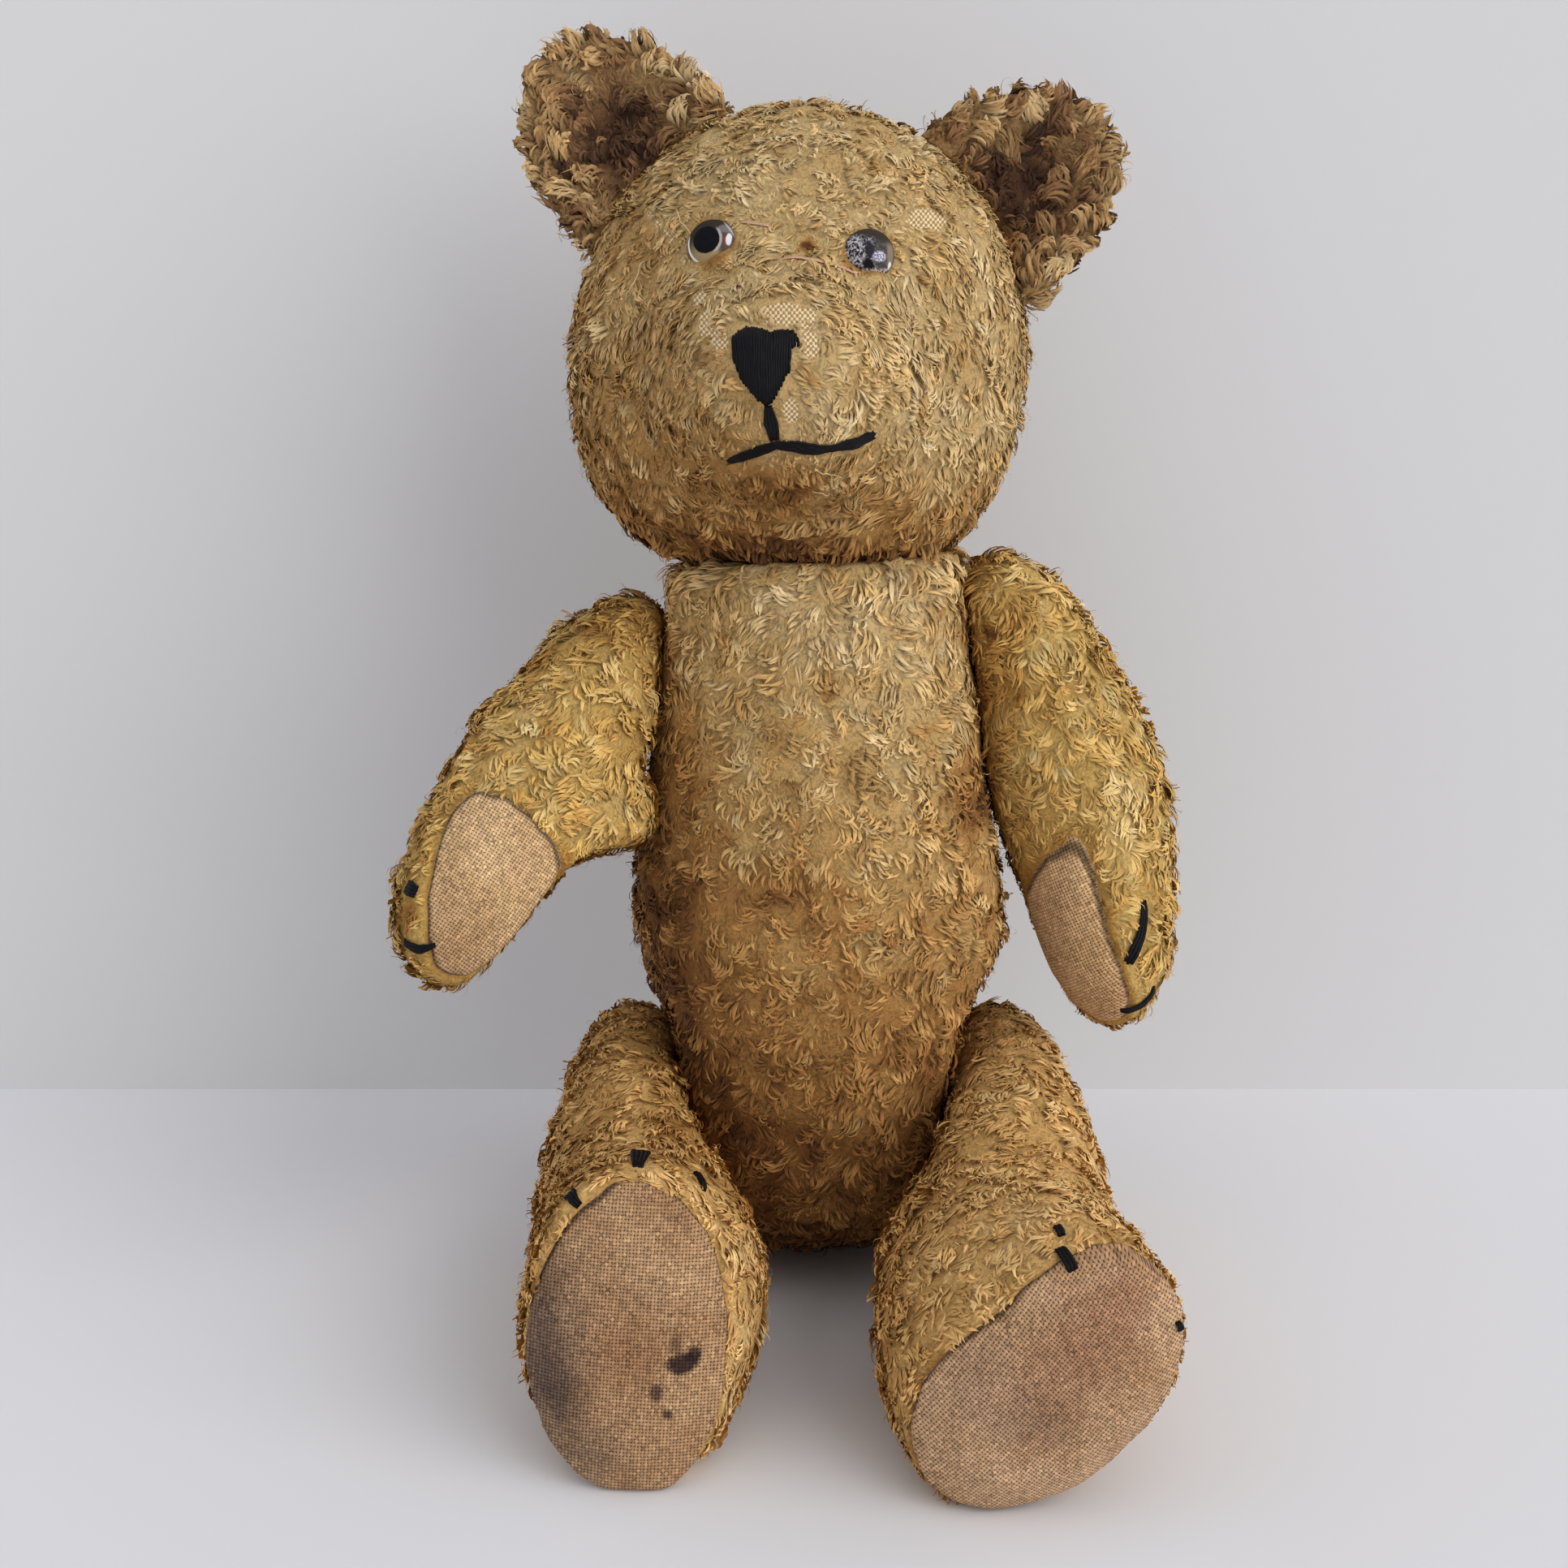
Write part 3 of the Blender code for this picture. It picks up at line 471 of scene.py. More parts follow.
def splitPad(made, name, seam):
    # cuts the pad off at its seam and sinks the seam
    whole = bmesh.new()
    whole.from_mesh(made.data)
    for v in whole.verts:
        v.co -= seam.facing * seam.stands(v.co)
    wide = skinForm["seamWide"]
    for offset in (-wide, -wide * 0.4, 0.0, wide * 0.4, wide):
        bmesh.ops.bisect_plane(whole, geom=whole.verts[:] + whole.edges[:] + whole.faces[:], dist=1e-5,
                               plane_co=seam.middle + seam.facing * offset, plane_no=seam.facing)
    pieces = []
    for keepPad in (False, True):
        half = whole.copy()
        away = [f for f in half.faces
                if ((f.calc_center_median() - seam.middle).dot(seam.facing) > 0) != keepPad]
        bmesh.ops.delete(half, geom=away, context="FACES")
        pieces.append(half)
    whole.free()
    pad = bpy.data.meshes.new(name)
    for half, mesh in zip(pieces, (made.data, pad)):
        for v in half.verts:
            v.co += seam.facing * seam.stands(v.co)
        half.normal_update()
        for v in half.verts:
            off = abs(seam.beyondOne(v.co)) / wide
            if off < 1:
                v.co -= v.normal * skinForm["seamDeep"] * (1 - off) ** 1.5
        half.to_mesh(mesh)
        half.free()
        addValues(mesh, "seam", np.abs(seam.beyond(coordsOf(mesh))) / mm)
        smooth(mesh)
    return tempObject(name, pad)


def addValues(mesh, name, values):
    layer = mesh.attributes.new(name, "FLOAT", "POINT")
    layer.data.foreach_set("value", values.astype(np.float32))


def rotated(directions, normals, angles):
    # tangent directions turned about their normals
    beside = np.cross(normals, directions)
    return directions * np.cos(angles)[:, None] + beside * np.sin(angles)[:, None]


# how a lock rises and narrows from root to tip, how deep it roots and how far it clears the floor
lockForm = {"lifts": (0.85, 0.40, 0.0, -0.45), "taper": (0.7, 1.0, 0.95, 0.62), "root": 0.15 * mm,
            "clear": 0.2 * mm, "edgeClear": 0.12 * mm, "strayTall": 1.7, "strayWide": 0.28}


def growPile(name, skin, field, style, seed):
    # tapering locks of fibres that lie and curl over a skin
    draw = np.random.default_rng(seed)
    mesh = skin.data
    mesh.calc_loop_triangles()
    corners = np.empty(len(mesh.loop_triangles) * 3, np.int32)
    mesh.loop_triangles.foreach_get("vertices", corners)
    corners = corners.reshape(-1, 3)
    places, normals = coordsOf(mesh), normalsOf(mesh)
    a, b, c = (places[corners[:, i]] for i in range(3))
    area = np.linalg.norm(np.cross(b - a, c - a), axis=1) / 2
    weight = area * field.thick[corners].mean(1)
    count = int(weight.sum() * 1e4 * style["perSqCm"])
    pick = corners[draw.choice(len(corners), count, p=weight / weight.sum())]
    share = draw.dirichlet((1.0, 1.0, 1.0), count)

    def at(values):
        mixed = (values[pick].reshape(count, 3, -1) * share[:, :, None]).sum(1)
        return mixed[:, 0] if values.ndim == 1 else mixed

    roots, ups = at(places), unit(at(normals))
    along = at(field.lie)
    along = unit(along - ups * (along * ups).sum(1)[:, None])
    tone, light, size, curling = at(field.tone), at(field.light), at(field.size), at(field.curl)

    # locks mat together in tufts: each tuft has its own turn, curl, height and colour, and its
    # locks draw in towards the lock in its middle
    middles = draw.choice(count, max(1, count // style["perTuft"]), replace=False)
    near = kdtree.KDTree(len(middles))
    for i, m in enumerate(middles):
        near.insert(roots[m], i)
    near.balance()
    tuft = np.array([near.find(p)[1] for p in roots])

    def vary(one, tufts=1.0, locks=0.45):
        # random values shared by a tuft, with some of each lock's own
        return draw.normal(0, one * tufts, len(middles))[tuft] + draw.normal(0, one * locks, count)

    # a few thin strays stand off the locks
    stray = draw.random(count) < style["strays"]
    turn = vary(style["turn"]) * (0.6 + 0.4 * curling)
    curl = vary(style["curl"], 0.8, 0.6) * curling
    long = style["long"] * np.clip(1 + vary(0.2), 0.5, 1.6) * size
    tall = style["rise"] * np.clip(1 + vary(0.5, 1.2, 0.4), 0.15, 2.6) * size
    tall = tall * np.where(stray, lockForm["strayTall"], 1)
    wide = style["wide"] * draw.uniform(0.6, 1.3, count) * np.sqrt(size)
    wide = wide * np.where(stray, lockForm["strayWide"], 1)
    tilt = draw.normal(0, style["tilt"], count)
    steps = len(lockForm["taper"])
    path = np.empty((count, steps + 1, 3))
    path[:, 0] = roots - ups * lockForm["root"]
    for k in range(steps):
        way = rotated(along, ups, turn + curl * ((k + 0.5) / steps) ** 1.2)
        lift = (tall * lockForm["lifts"][k])[:, None]
        path[:, k + 1] = path[:, k] + way * (long / steps)[:, None] + ups * lift
    drawn = path[middles][tuft]
    close = np.linalg.norm(path[:, 0] - drawn[:, 0], axis=1) < style["tuftReach"]
    pull = style["pull"] * draw.uniform(0.4, 1.0, count) * close * ~stray
    for k in range(1, steps + 1):
        path[:, k] += (drawn[:, k] - path[:, k]) * (pull * (k / steps) ** 1.2)[:, None]
    path[:, :, 2] = np.maximum(path[:, :, 2], lockForm["clear"])

    # each lock is a narrow tapering ribbon whose normals lean outwards at its edges, so it looks round
    points = np.empty((count, 2 * steps + 1, 3))
    shades = np.empty((count, 2 * steps + 1, 3))
    for k in range(steps):
        way = unit(path[:, k + 1] - path[:, max(k - 1, 0)])
        flat = unit(np.cross(way, ups))
        top = np.cross(flat, way)
        side = flat * np.cos(tilt)[:, None] + top * np.sin(tilt)[:, None]
        half = side * (wide * lockForm["taper"][k] / 2)[:, None]
        points[:, 2 * k], points[:, 2 * k + 1] = path[:, k] - half, path[:, k] + half
        soft = ups * style["soften"] + top * (1 - style["soften"])
        shades[:, 2 * k], shades[:, 2 * k + 1] = soft - side * style["round"], soft + side * style["round"]
    points[:, -1], shades[:, -1] = path[:, -1], ups
    points[:, :, 2] = np.maximum(points[:, :, 2], lockForm["edgeClear"])

    tones = np.clip(tone + vary(style["toneJitter"], 1.6, 0.6), 0.0, 0.999)
    lights = np.clip(light + vary(style["lightJitter"], 1.2, 0.6), 0.0, 0.999)
    toneStep, lightStep = (tones * pileMap["tones"]).astype(int), (lights * pileMap["lights"]).astype(int)
    column = toneStep * pileMap["lights"] + lightStep
    maps = np.empty((count, 2 * steps + 1, 2))
    for k in range(steps):
        for j in range(2):
            maps[:, 2 * k + j, 0] = (column + (0.06, 0.94)[j]) / pileMap["columns"]
            maps[:, 2 * k + j, 1] = 0.03 + 0.94 * k / steps
    maps[:, -1, 0], maps[:, -1, 1] = (column + 0.5) / pileMap["columns"], 0.97

    quads = [(2 * k, 2 * k + 1, 2 * k + 3, 2 * k + 2) for k in range(steps - 1)]
    last = 2 * steps - 2
    ends = [(last, last + 1, last + 2)]
    order = np.array([i for face in quads + ends for i in face])
    sizes = np.tile([len(face) for face in quads + ends], count)
    loops = ((np.arange(count) * (2 * steps + 1))[:, None] + order).ravel()
    starts = np.concatenate([[0], np.cumsum(sizes)[:-1]])

    pile = bpy.data.meshes.new(name)
    pile.vertices.add(points.shape[0] * points.shape[1])
    pile.vertices.foreach_set("co", points.astype(np.float32).ravel())
    pile.loops.add(len(loops))
    pile.loops.foreach_set("vertex_index", loops.astype(np.int32))
    pile.polygons.add(len(sizes))
    pile.polygons.foreach_set("loop_start", starts.astype(np.int32))
    pile.polygons.foreach_set("use_smooth", np.ones(len(sizes), bool))
    pile.update(calc_edges=True)
    layer = pile.uv_layers.new(name="OFBake")
    layer.data.foreach_set("uv", maps.reshape(-1, 2)[loops].astype(np.float32).ravel())
    pile.normals_split_custom_set_from_vertices(unit(shades.reshape(-1, 3)).astype(np.float32))
    print(name, count, "locks,", int(sum(sizes - 2)), "triangles")
    return tempObject(name, pile)


def blot(places, at, reach, wander):
    # how far inside a spot each place is, 0 to 1; at and reach are in millimetres
    away = np.linalg.norm((places / mm - np.array(at)) / np.array(reach), axis=1)
    return 1 - rise(away + wander, 0.55, 1.15)


def turnedAway(field, start, near, far):
    # pile within near of a place lies away from it, and less and less out to far
    off = field.places - np.array(start)
    share = 1 - rise(np.linalg.norm(off, axis=1), near, far)
    off -= field.normals * (off * field.normals).sum(1)[:, None]
    field.lie = unit(field.lie * (1 - share)[:, None] + unit(off) * share[:, None])


pileLook = {"perSqCm": 55, "long": 4.9 * mm, "wide": 0.90 * mm, "rise": 0.80 * mm, "round": 0.36,
            "curl": 1.2, "turn": 0.38, "tilt": 0.30, "soften": 0.66, "strays": 0.12, "perTuft": 10,
            "tuftReach": 4.5 * mm, "pull": 0.62, "toneJitter": 0.06, "lightJitter": 0.23}
padOf = {"arm": "paw", "leg": "foot"}
coversOf = {"body": ["body_cover"], "head": ["head_cover"]}
for limb, pad in padOf.items():
    for side in sides:
        coversOf[side + "_" + limb] = [side + "_" + limb + "_cover", side + "_" + pad + "_pad"]
trees = {part: BVHTree.FromBMesh(joined(nodes)) for part, nodes in coversOf.items()}
neighbours = {part: ["body"] for part in coversOf}
neighbours["body"] = [part for part in coversOf if part != "body"]
# clean: the way towards the light, away from which painted shade darkens the pile; trunk and limbs: how much
# of that painted shade the head and body, and the limbs, take; crease: how much painted shade falls where
# parts meet; search: how far off a neighbour matters
fieldLook = {"tone": 0.28, "light": 0.51, "clean": (0.62, -0.50, 0.60), "trunk": 0.22, "limbs": 0.13,
             "creaseShade": 0.28, "neckAt": 0.207, "search": 8 * mm}


def baseField(part, skin, base, swirl, swirlSize, seed):
    # the common numbers of a part's pile: which way it lies, how thick, long, dark and curled it is
    mesh = skin.data
    places, normals = coordsOf(mesh), normalsOf(mesh)
    lie = unit(base - normals * (base * normals).sum(1)[:, None])
    turn = cloud(places, swirlSize, seed) * swirl + cloud(places, swirlSize * 0.4, seed + 1) * swirl * 0.4
    lie = rotated(lie, normals, turn)
    near = np.full(len(places), 1.0)
    for other in neighbours.get(part, []):
        near = np.minimum(near, distances(trees[other], places, fieldLook["search"]))
    thick = rise(near, 0.0 * mm, 0.7 * mm) * rise(places[:, 2], 0.6 * mm, 1.6 * mm)
    size = 0.65 + 0.35 * rise(near, 0.5 * mm, 4.0 * mm)
    mottle = cloud(places, 17 * mm, seed + 2) * 0.07 + cloud(places, 5 * mm, seed + 3) * 0.05
    trunk = part in ("head", "body")
    # painted shade in the creases, darker near a neighbouring part
    paintedShade = fieldLook["creaseShade"] * (1 - rise(near, 0.5 * mm, 5 * mm))
    size += 0.35 * trunk * (1 - rise(abs(places[:, 2] - fieldLook["neckAt"]), 3 * mm, 9 * mm))
    # painted shade: darker underneath and down the bear's right side, away from the light
    clean = rise(normals @ np.array(fieldLook["clean"]), -0.35, 0.70)
    paintedShade += fieldLook["trunk" if trunk else "limbs"] * (1 - clean)
    blank = np.zeros(len(places))
    return SimpleNamespace(
        places=places, normals=normals, lie=lie, thick=thick, size=size, light=fieldLook["light"] + blank,
        tone=fieldLook["tone"] + mottle + paintedShade, curl=1.0 + cloud(places, 12 * mm, seed + 5) * 0.4,
        bare=blank.copy(), wander=cloud(places, 4 * mm, seed + 4) * 0.25)


def lumpy(skin, size, high, seed):
    # the stuffing has felted into small lumps under the pile
    places, normals = coordsOf(skin.data), normalsOf(skin.data)
    lumps = cloud(places, size, seed) + cloud(places, size * 2.2, seed + 1) * 0.8
    setCoords(skin.data, places + normals * (lumps * high)[:, None])


def stained(field, stains):
    for at, reach, change in stains:
        field.tone += blot(field.places, at, reach, field.wander) * change


def wornBare(field, spots):
    for at, reach in spots:
        field.bare = np.maximum(field.bare, blot(field.places, at, reach, field.wander))
    field.thick *= 1 - 0.96 * rise(field.bare, 0.15, 0.55)
    field.size *= 1 - 0.45 * field.bare


skinTrees = {}


def dress(part, body, coverNodes, skin, field, style, seed):
    addValues(skin.data, "tone", np.clip(field.tone, 0, 1))
    addValues(skin.data, "bare", field.bare)
    skin.data.materials.clear()
    skin.data.materials.append(skinMaterials[part])
    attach(skin, body)
    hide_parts(*coverNodes)
    pile = growPile(skin.name.replace("_skin", "_pile"), skin, field, style, seed)
    pile.data.materials.append(pileMaterials[part])
    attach(pile, body)


skinMaterials = {part: skinFinish(part) for part in plushTones}
pileMaterials = {part: pileFinish(part) for part in plushTones}
threadLook = {"colour": (0.0045, 0.004, 0.0055), "shine": 0.5, "squash": 0.72, "around": 7,
              "finest": 0.35 * mm}
blackThread = threadFinish("blackThread", threadLook["colour"], threadLook["shine"])
print("materials made")


def ringOf(mesh, placeAt, around):
    return [mesh.verts.new(placeAt(2 * pi * k / around)) for k in range(around)]


def joinRings(mesh, rings):
    for low, high in zip(rings[:-1], rings[1:]):
        for k in range(len(low)):
            after = (k + 1) % len(low)
            mesh.faces.new((low[k], low[after], high[after], high[k]))


def threadMesh(name, strands):
    # thread laid as flattened tubes: each strand is its points, its widths and which way is up there
    mesh = bmesh.new()
    for points, widths, ups in strands:
        rings = []
        for i, point in enumerate(points):
            way = (points[min(i + 1, len(points) - 1)] - points[max(i - 1, 0)]).normalized()
            across = way.cross(ups[i]).normalized()
            top = across.cross(way)
            rings.append(ringOf(mesh, lambda turn: point + (across * cos(turn) + top * sin(turn)
                                * threadLook["squash"]) * (widths[i] / 2), threadLook["around"]))
        joinRings(mesh, rings)
        mesh.faces.new(rings[0][::-1])
        mesh.faces.new(rings[-1])
    bmesh.ops.recalc_face_normals(mesh, faces=mesh.faces)
    made = meshOf(mesh, name)
    smooth(made)
    return tempObject(name, made)


def sewnLine(tree, line, widthAt, count, high, seed, dip=0.35 * mm):
    # strands side by side along a line of points near a skin
    draw = np.random.default_rng(seed)
    line = [Vector(p) for p in line]
    spans = [(b - a).length for a, b in zip(line[:-1], line[1:])]
    total = sum(spans)
    strands = []
    steps = max(6, int(total / (0.9 * mm)))
    for j in range(count):
        points, widths, ups = [], [], []
        start, end = draw.uniform(0, 0.05), 1 - draw.uniform(0, 0.05)
        for i in range(steps + 1):
            t = start + (end - start) * i / steps
            left = t * total
            k = 0
            while k < len(spans) - 1 and left > spans[k]:
                left -= spans[k]
                k += 1
            on = line[k].lerp(line[k + 1], min(1.0, left / spans[k]))
            spot, up = tree.find_nearest(on)[:2]
            way = (line[k + 1] - line[k]).normalized()
            beside = way.cross(up).normalized()
            wide = widthAt(t)
            spot = spot + beside * ((j + 0.5) / count - 0.5) * wide
            spot, up = tree.find_nearest(spot)[:2]
            arch = min(1.0, 6 * min(t, 1 - t))
            points.append(spot + up * (high * arch - dip * (1 - arch) + draw.normal(0, 0.04 * mm)))
            widths.append(max(threadLook["finest"], wide / count * 1.25))
            ups.append(up)
        strands.append((points, widths, ups))
    return strands


def dressThreads(made, body, nodes, material):
    made.data.materials.append(material)
    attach(made, body)
    if nodes:
        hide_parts(*nodes)


# flats: a point, the way out and how much stays past it; moves: where, how far round it, the move;
# stains: centre, reach and how much darker; tufts: centre and reach; all in millimetres
bodyLook = {
    "flats": (((0, -3.5, 2.2), (0, -0.44, -0.90), 0.15),),
    "moves": (((0, 0, 203), (60, 60, 7), (0, 0, 0.8)), ((44, -14, 112), (12, 30, 26), (1.4, 0, 0))),
    "stains": (((2.4, -36, 177), (3.2, 6, 5), 0.36), ((-7, -39, 163), (8, 8, 7), 0.16),
               ((32.7, -19, 194), (3, 4, 2.4), 0.30), ((38.6, -10, 192), (4, 8, 16), 0.20),
               ((41, -27, 148), (8, 13, 17), 0.36), ((-34, -28, 128), (16, 16, 36), 0.12),
               ((-11, -48, 126), (13, 9, 7), 0.15), ((1, -51, 120), (11, 9, 8), 0.12),
               ((-36, -34, 104), (16, 16, 30), 0.10), ((30, -44, 70), (12, 14, 26), 0.10),
               ((-30, -44, 62), (12, 14, 22), 0.12)),
    "tufts": (((-17.7, -38.5, 154.7), (3.5, 5, 3)), ((-19.9, -43.4, 133.5), (4, 5, 2.6)),
              ((24, -47, 108), (4, 5, 4))),
    "seam": ((2.4, -45.0, 145.0), (6.7, -53.9, 107.8), (8.1, -56.4, 81.6), (7.1, -52.5, 52.2)),
    "curly": ((4, -46, 140), (30, 40, 42)), "voxel": 2.0 * mm, "lumps": (5 * mm, 0.35 * mm),
    # heights in metres between which the pile is darker with painted shade and dirt, darker still, pale and
    # less curled
    "low": (0.085, 0.165), "lowest": (0.03, 0.09), "pale": (0.16, 0.19), "plain": (0.165, 0.19),
    "darkest": 0.86,
    "pile": {"perSqCm": 43, "long": 4.4 * mm, "wide": 0.84 * mm, "curl": 1.6},
}


def makeBody():
    look = bodyLook
    skin = sewnForm("body_skin", ["body_cover"], look["voxel"])
    flattened(skin, look["flats"])
    nudged(skin, look["moves"])
    settle(skin, 1)
    lumpy(skin, *look["lumps"], 11)
    skinTrees["body"] = skinTree(skin)
    places = coordsOf(skin.data)
    down = np.tile((0.0, 0.0, -1.0), (len(places), 1))
    field = baseField("body", skin, down, 1.5, 11 * mm, 10)
    places, height = field.places, field.places[:, 2]
    facingFront = 0.45 + 0.55 * rise(-field.normals[:, 1], -0.4, 0.2)
    low, lowest = 1 - rise(height, *look["low"]), 1 - rise(height, *look["lowest"])
    # painted shade and dirt: the front of the body darker towards the bottom
    field.tone += facingFront * (0.32 * low + 0.10 * lowest)
    field.tone += cloud(places, 8 * mm, 12) * 0.05 - 0.08 * rise(height, *look["pale"])
    stained(field, look["stains"])
    for at, reach in look["tufts"]:
        deep = blot(places, at, reach, field.wander * 0.4)
        field.tone -= 0.10 * deep
        field.size += 0.35 * deep
        sideways = np.array((-1.0, 0.0, -0.2))
        field.lie = unit(field.lie * (1 - deep)[:, None] + sideways * deep[:, None])
    field.curl += 0.7 * blot(places, *look["curly"], 0) - 0.45 * rise(height, *look["plain"])
    seam = lineDistances(places, np.array(look["seam"]) * mm)
    field.tone += 0.14 * np.exp(-(seam / (1.1 * mm)) ** 2)
    field.thick *= 1 - 0.5 * np.exp(-(seam / (0.7 * mm)) ** 2)
    field.tone = np.minimum(field.tone, look["darkest"])
    dress("body", "body", ["body_cover"], skin, field, {**pileLook, **look["pile"]}, 100)


headLook = {
    "moves": (((-58, -10, 262), (18, 40, 40), (-1.8, 0, 0)),
              ((-23.8, -29.5, 284.0), (6.0, 8, 4.6), (-0.6, -4.0, 1.8)),
              ((12.5, -33, 280.4), (7, 8, 3.8), (0, -4.0, 0.6)),
              ((0, -8, 209), (64, 60, 11), (0, -0.8, -2.9))),
    "eyes": {"right": (-27.0, -26.0, 288.6), "left": (12.2, -30.3, 286.3)},
    "eyeTurn": {"right": (-0.28, -1.2, 0.42), "left": (0.0, -1.2, 0.12)},
    "eyeRadius": 6.1 * mm,
    "lids": {"right": (0.55, -0.83), "left": (-0.05, -1.0)},
    # the nose and mouth as seen from the front: across and up, in millimetres
    "noseTop": ((-21.6, 268.3), (-20.2, 269.8), (-16.7, 270.9), (-13.1, 269.7), (-8.6, 270.2), (-6.6, 269.6),
                (-5.3, 267.6)),
    "noseFoot": ((-21.6, 262.8), (-20.2, 258.4), (-16.6, 254.0), (-13.5, 251.8), (-12.1, 252.2),
                 (-7.5, 259.7), (-7.2, 265.2), (-5.3, 266.4)),
    "lip": ((-12.9, 252.4), (-12.2, 248.1), (-11.2, 243.2)),
    "mouth": ((-24.6, 236.0), (-19.8, 238.8), (-15.2, 240.9), (-11.2, 242.6), (-6.2, 242.1), (-0.2, 241.0),
              (5.8, 241.7), (10.9, 242.7), (15.2, 243.8)),
    "bare": (((-7.0, -57.2, 273.2), (8.0, 5, 3.8)), ((-30.4, -43, 277.6), (2.6, 6.5, 3.8)),
             ((-28.0, -50, 271), (3.2, 5, 5)), ((-24.4, -56.5, 267), (3.2, 4.5, 4)),
             ((-2.6, -60.5, 265.8), (2.6, 4, 5)), ((27.5, -16.8, 294.6), (8.6, 7, 3.2)),
             ((-7.5, -63, 251.0), (2.2, 3, 4)), ((1, -56, 247.5), (2.4, 3, 2.4))),
    "stains": (((-2.9, -33.3, 288.7), (2.0, 4, 2.0), 0.75), ((-10, -50, 231), (13, 9, 8), 0.16),
               ((-10, -24, 212), (32, 16, 6), 0.22), ((11.4, -13.5, 309), (5, 6, 4), 0.12),
               ((3.8, -15.1, 309), (4, 6, 4), 0.12), ((-44, -12, 285), (7, 12, 8), 0.10),
               ((-3.9, -62.4, 260), (3, 3, 4), 0.25), ((22, -38, 225), (10, 12, 9), 0.10),
               ((-46, -22, 250), (10, 16, 26), 0.08)),
    "dart": ((-44.2, -8.0, 296.2), (-40.8, -14.0, 292.9), (-37.5, -19.1, 289.6)),
    "curly": ((2, -12, 308), (40, 30, 20)), "voxel": 1.75 * mm, "lumps": (4 * mm, 0.38 * mm),
    # heights in metres between which the brow begins and the painted shade under the chin ends
    "brow": (0.284, 0.296), "chinShade": (0.214, 0.250), "parting": 4 * mm,
    "noseAt": (-13.0, 262.0), "noseSpread": (9 * mm, 30 * mm), "eyeFoot": 1.9 * mm,
    "clearOfMouth": (1.8 * mm, 2.7 * mm, 6 * mm),
    "pile": {"perSqCm": 53, "long": 3.4 * mm, "wide": 0.82 * mm, "rise": 0.66 * mm, "curl": 1.6,
             "lightJitter": 0.18},
    # faint pink threads left between the eyes, and pale ones that have come loose
    "pink": (((-20.7, -25.3, 294.4), (-16.2, -27.0, 293.9), (-11.7, -28.3, 293.5)),
             ((-11.6, -38.2, 285.7), (-5.2, -38.2, 285.7), (1.9, -37.9, 284.5), (8.6, -37.3, 281.9),
              (11.5, -34.7, 281.2))),
    "loose": (((-2.5, -50, 229), (0.5, -49, 227.4), (4, -47, 226.2)),
              ((-1.5, -53.5, 236), (3, -51, 234.8), (6, -49, 232.5)),
              ((-47, -18, 287), (-48.5, -20, 281), (-50.5, -18, 274)),
              ((-33, -24, 292), (-36, -20, 295), (-38, -15, 299)),
              ((24, -34, 276), (28, -31, 271), (30, -30, 264))),
}


def fromFront(tree, x, z):
    # where a line from the front meets a skin, and which way the skin looks there
    return tree.ray_cast(Vector((x * mm, -0.4, z * mm)), Vector((0, 1, 0)))[:2]


def onFront(tree, spots):
    return [fromFront(tree, x, z)[0] for x, z in spots]


def eyeSeat(side):
    # the middle of an eye, and which way it looks
    glass = nodeCoords(side + "_eye_glass")
    facing = np.linalg.svd(glass - glass.mean(0))[2][2]
    if facing[1] > 0:
        facing = -facing
    facing = Vector(facing) + Vector(headLook["eyeTurn"][side])
    return Vector(headLook["eyes"][side]) * mm, facing.normalized()


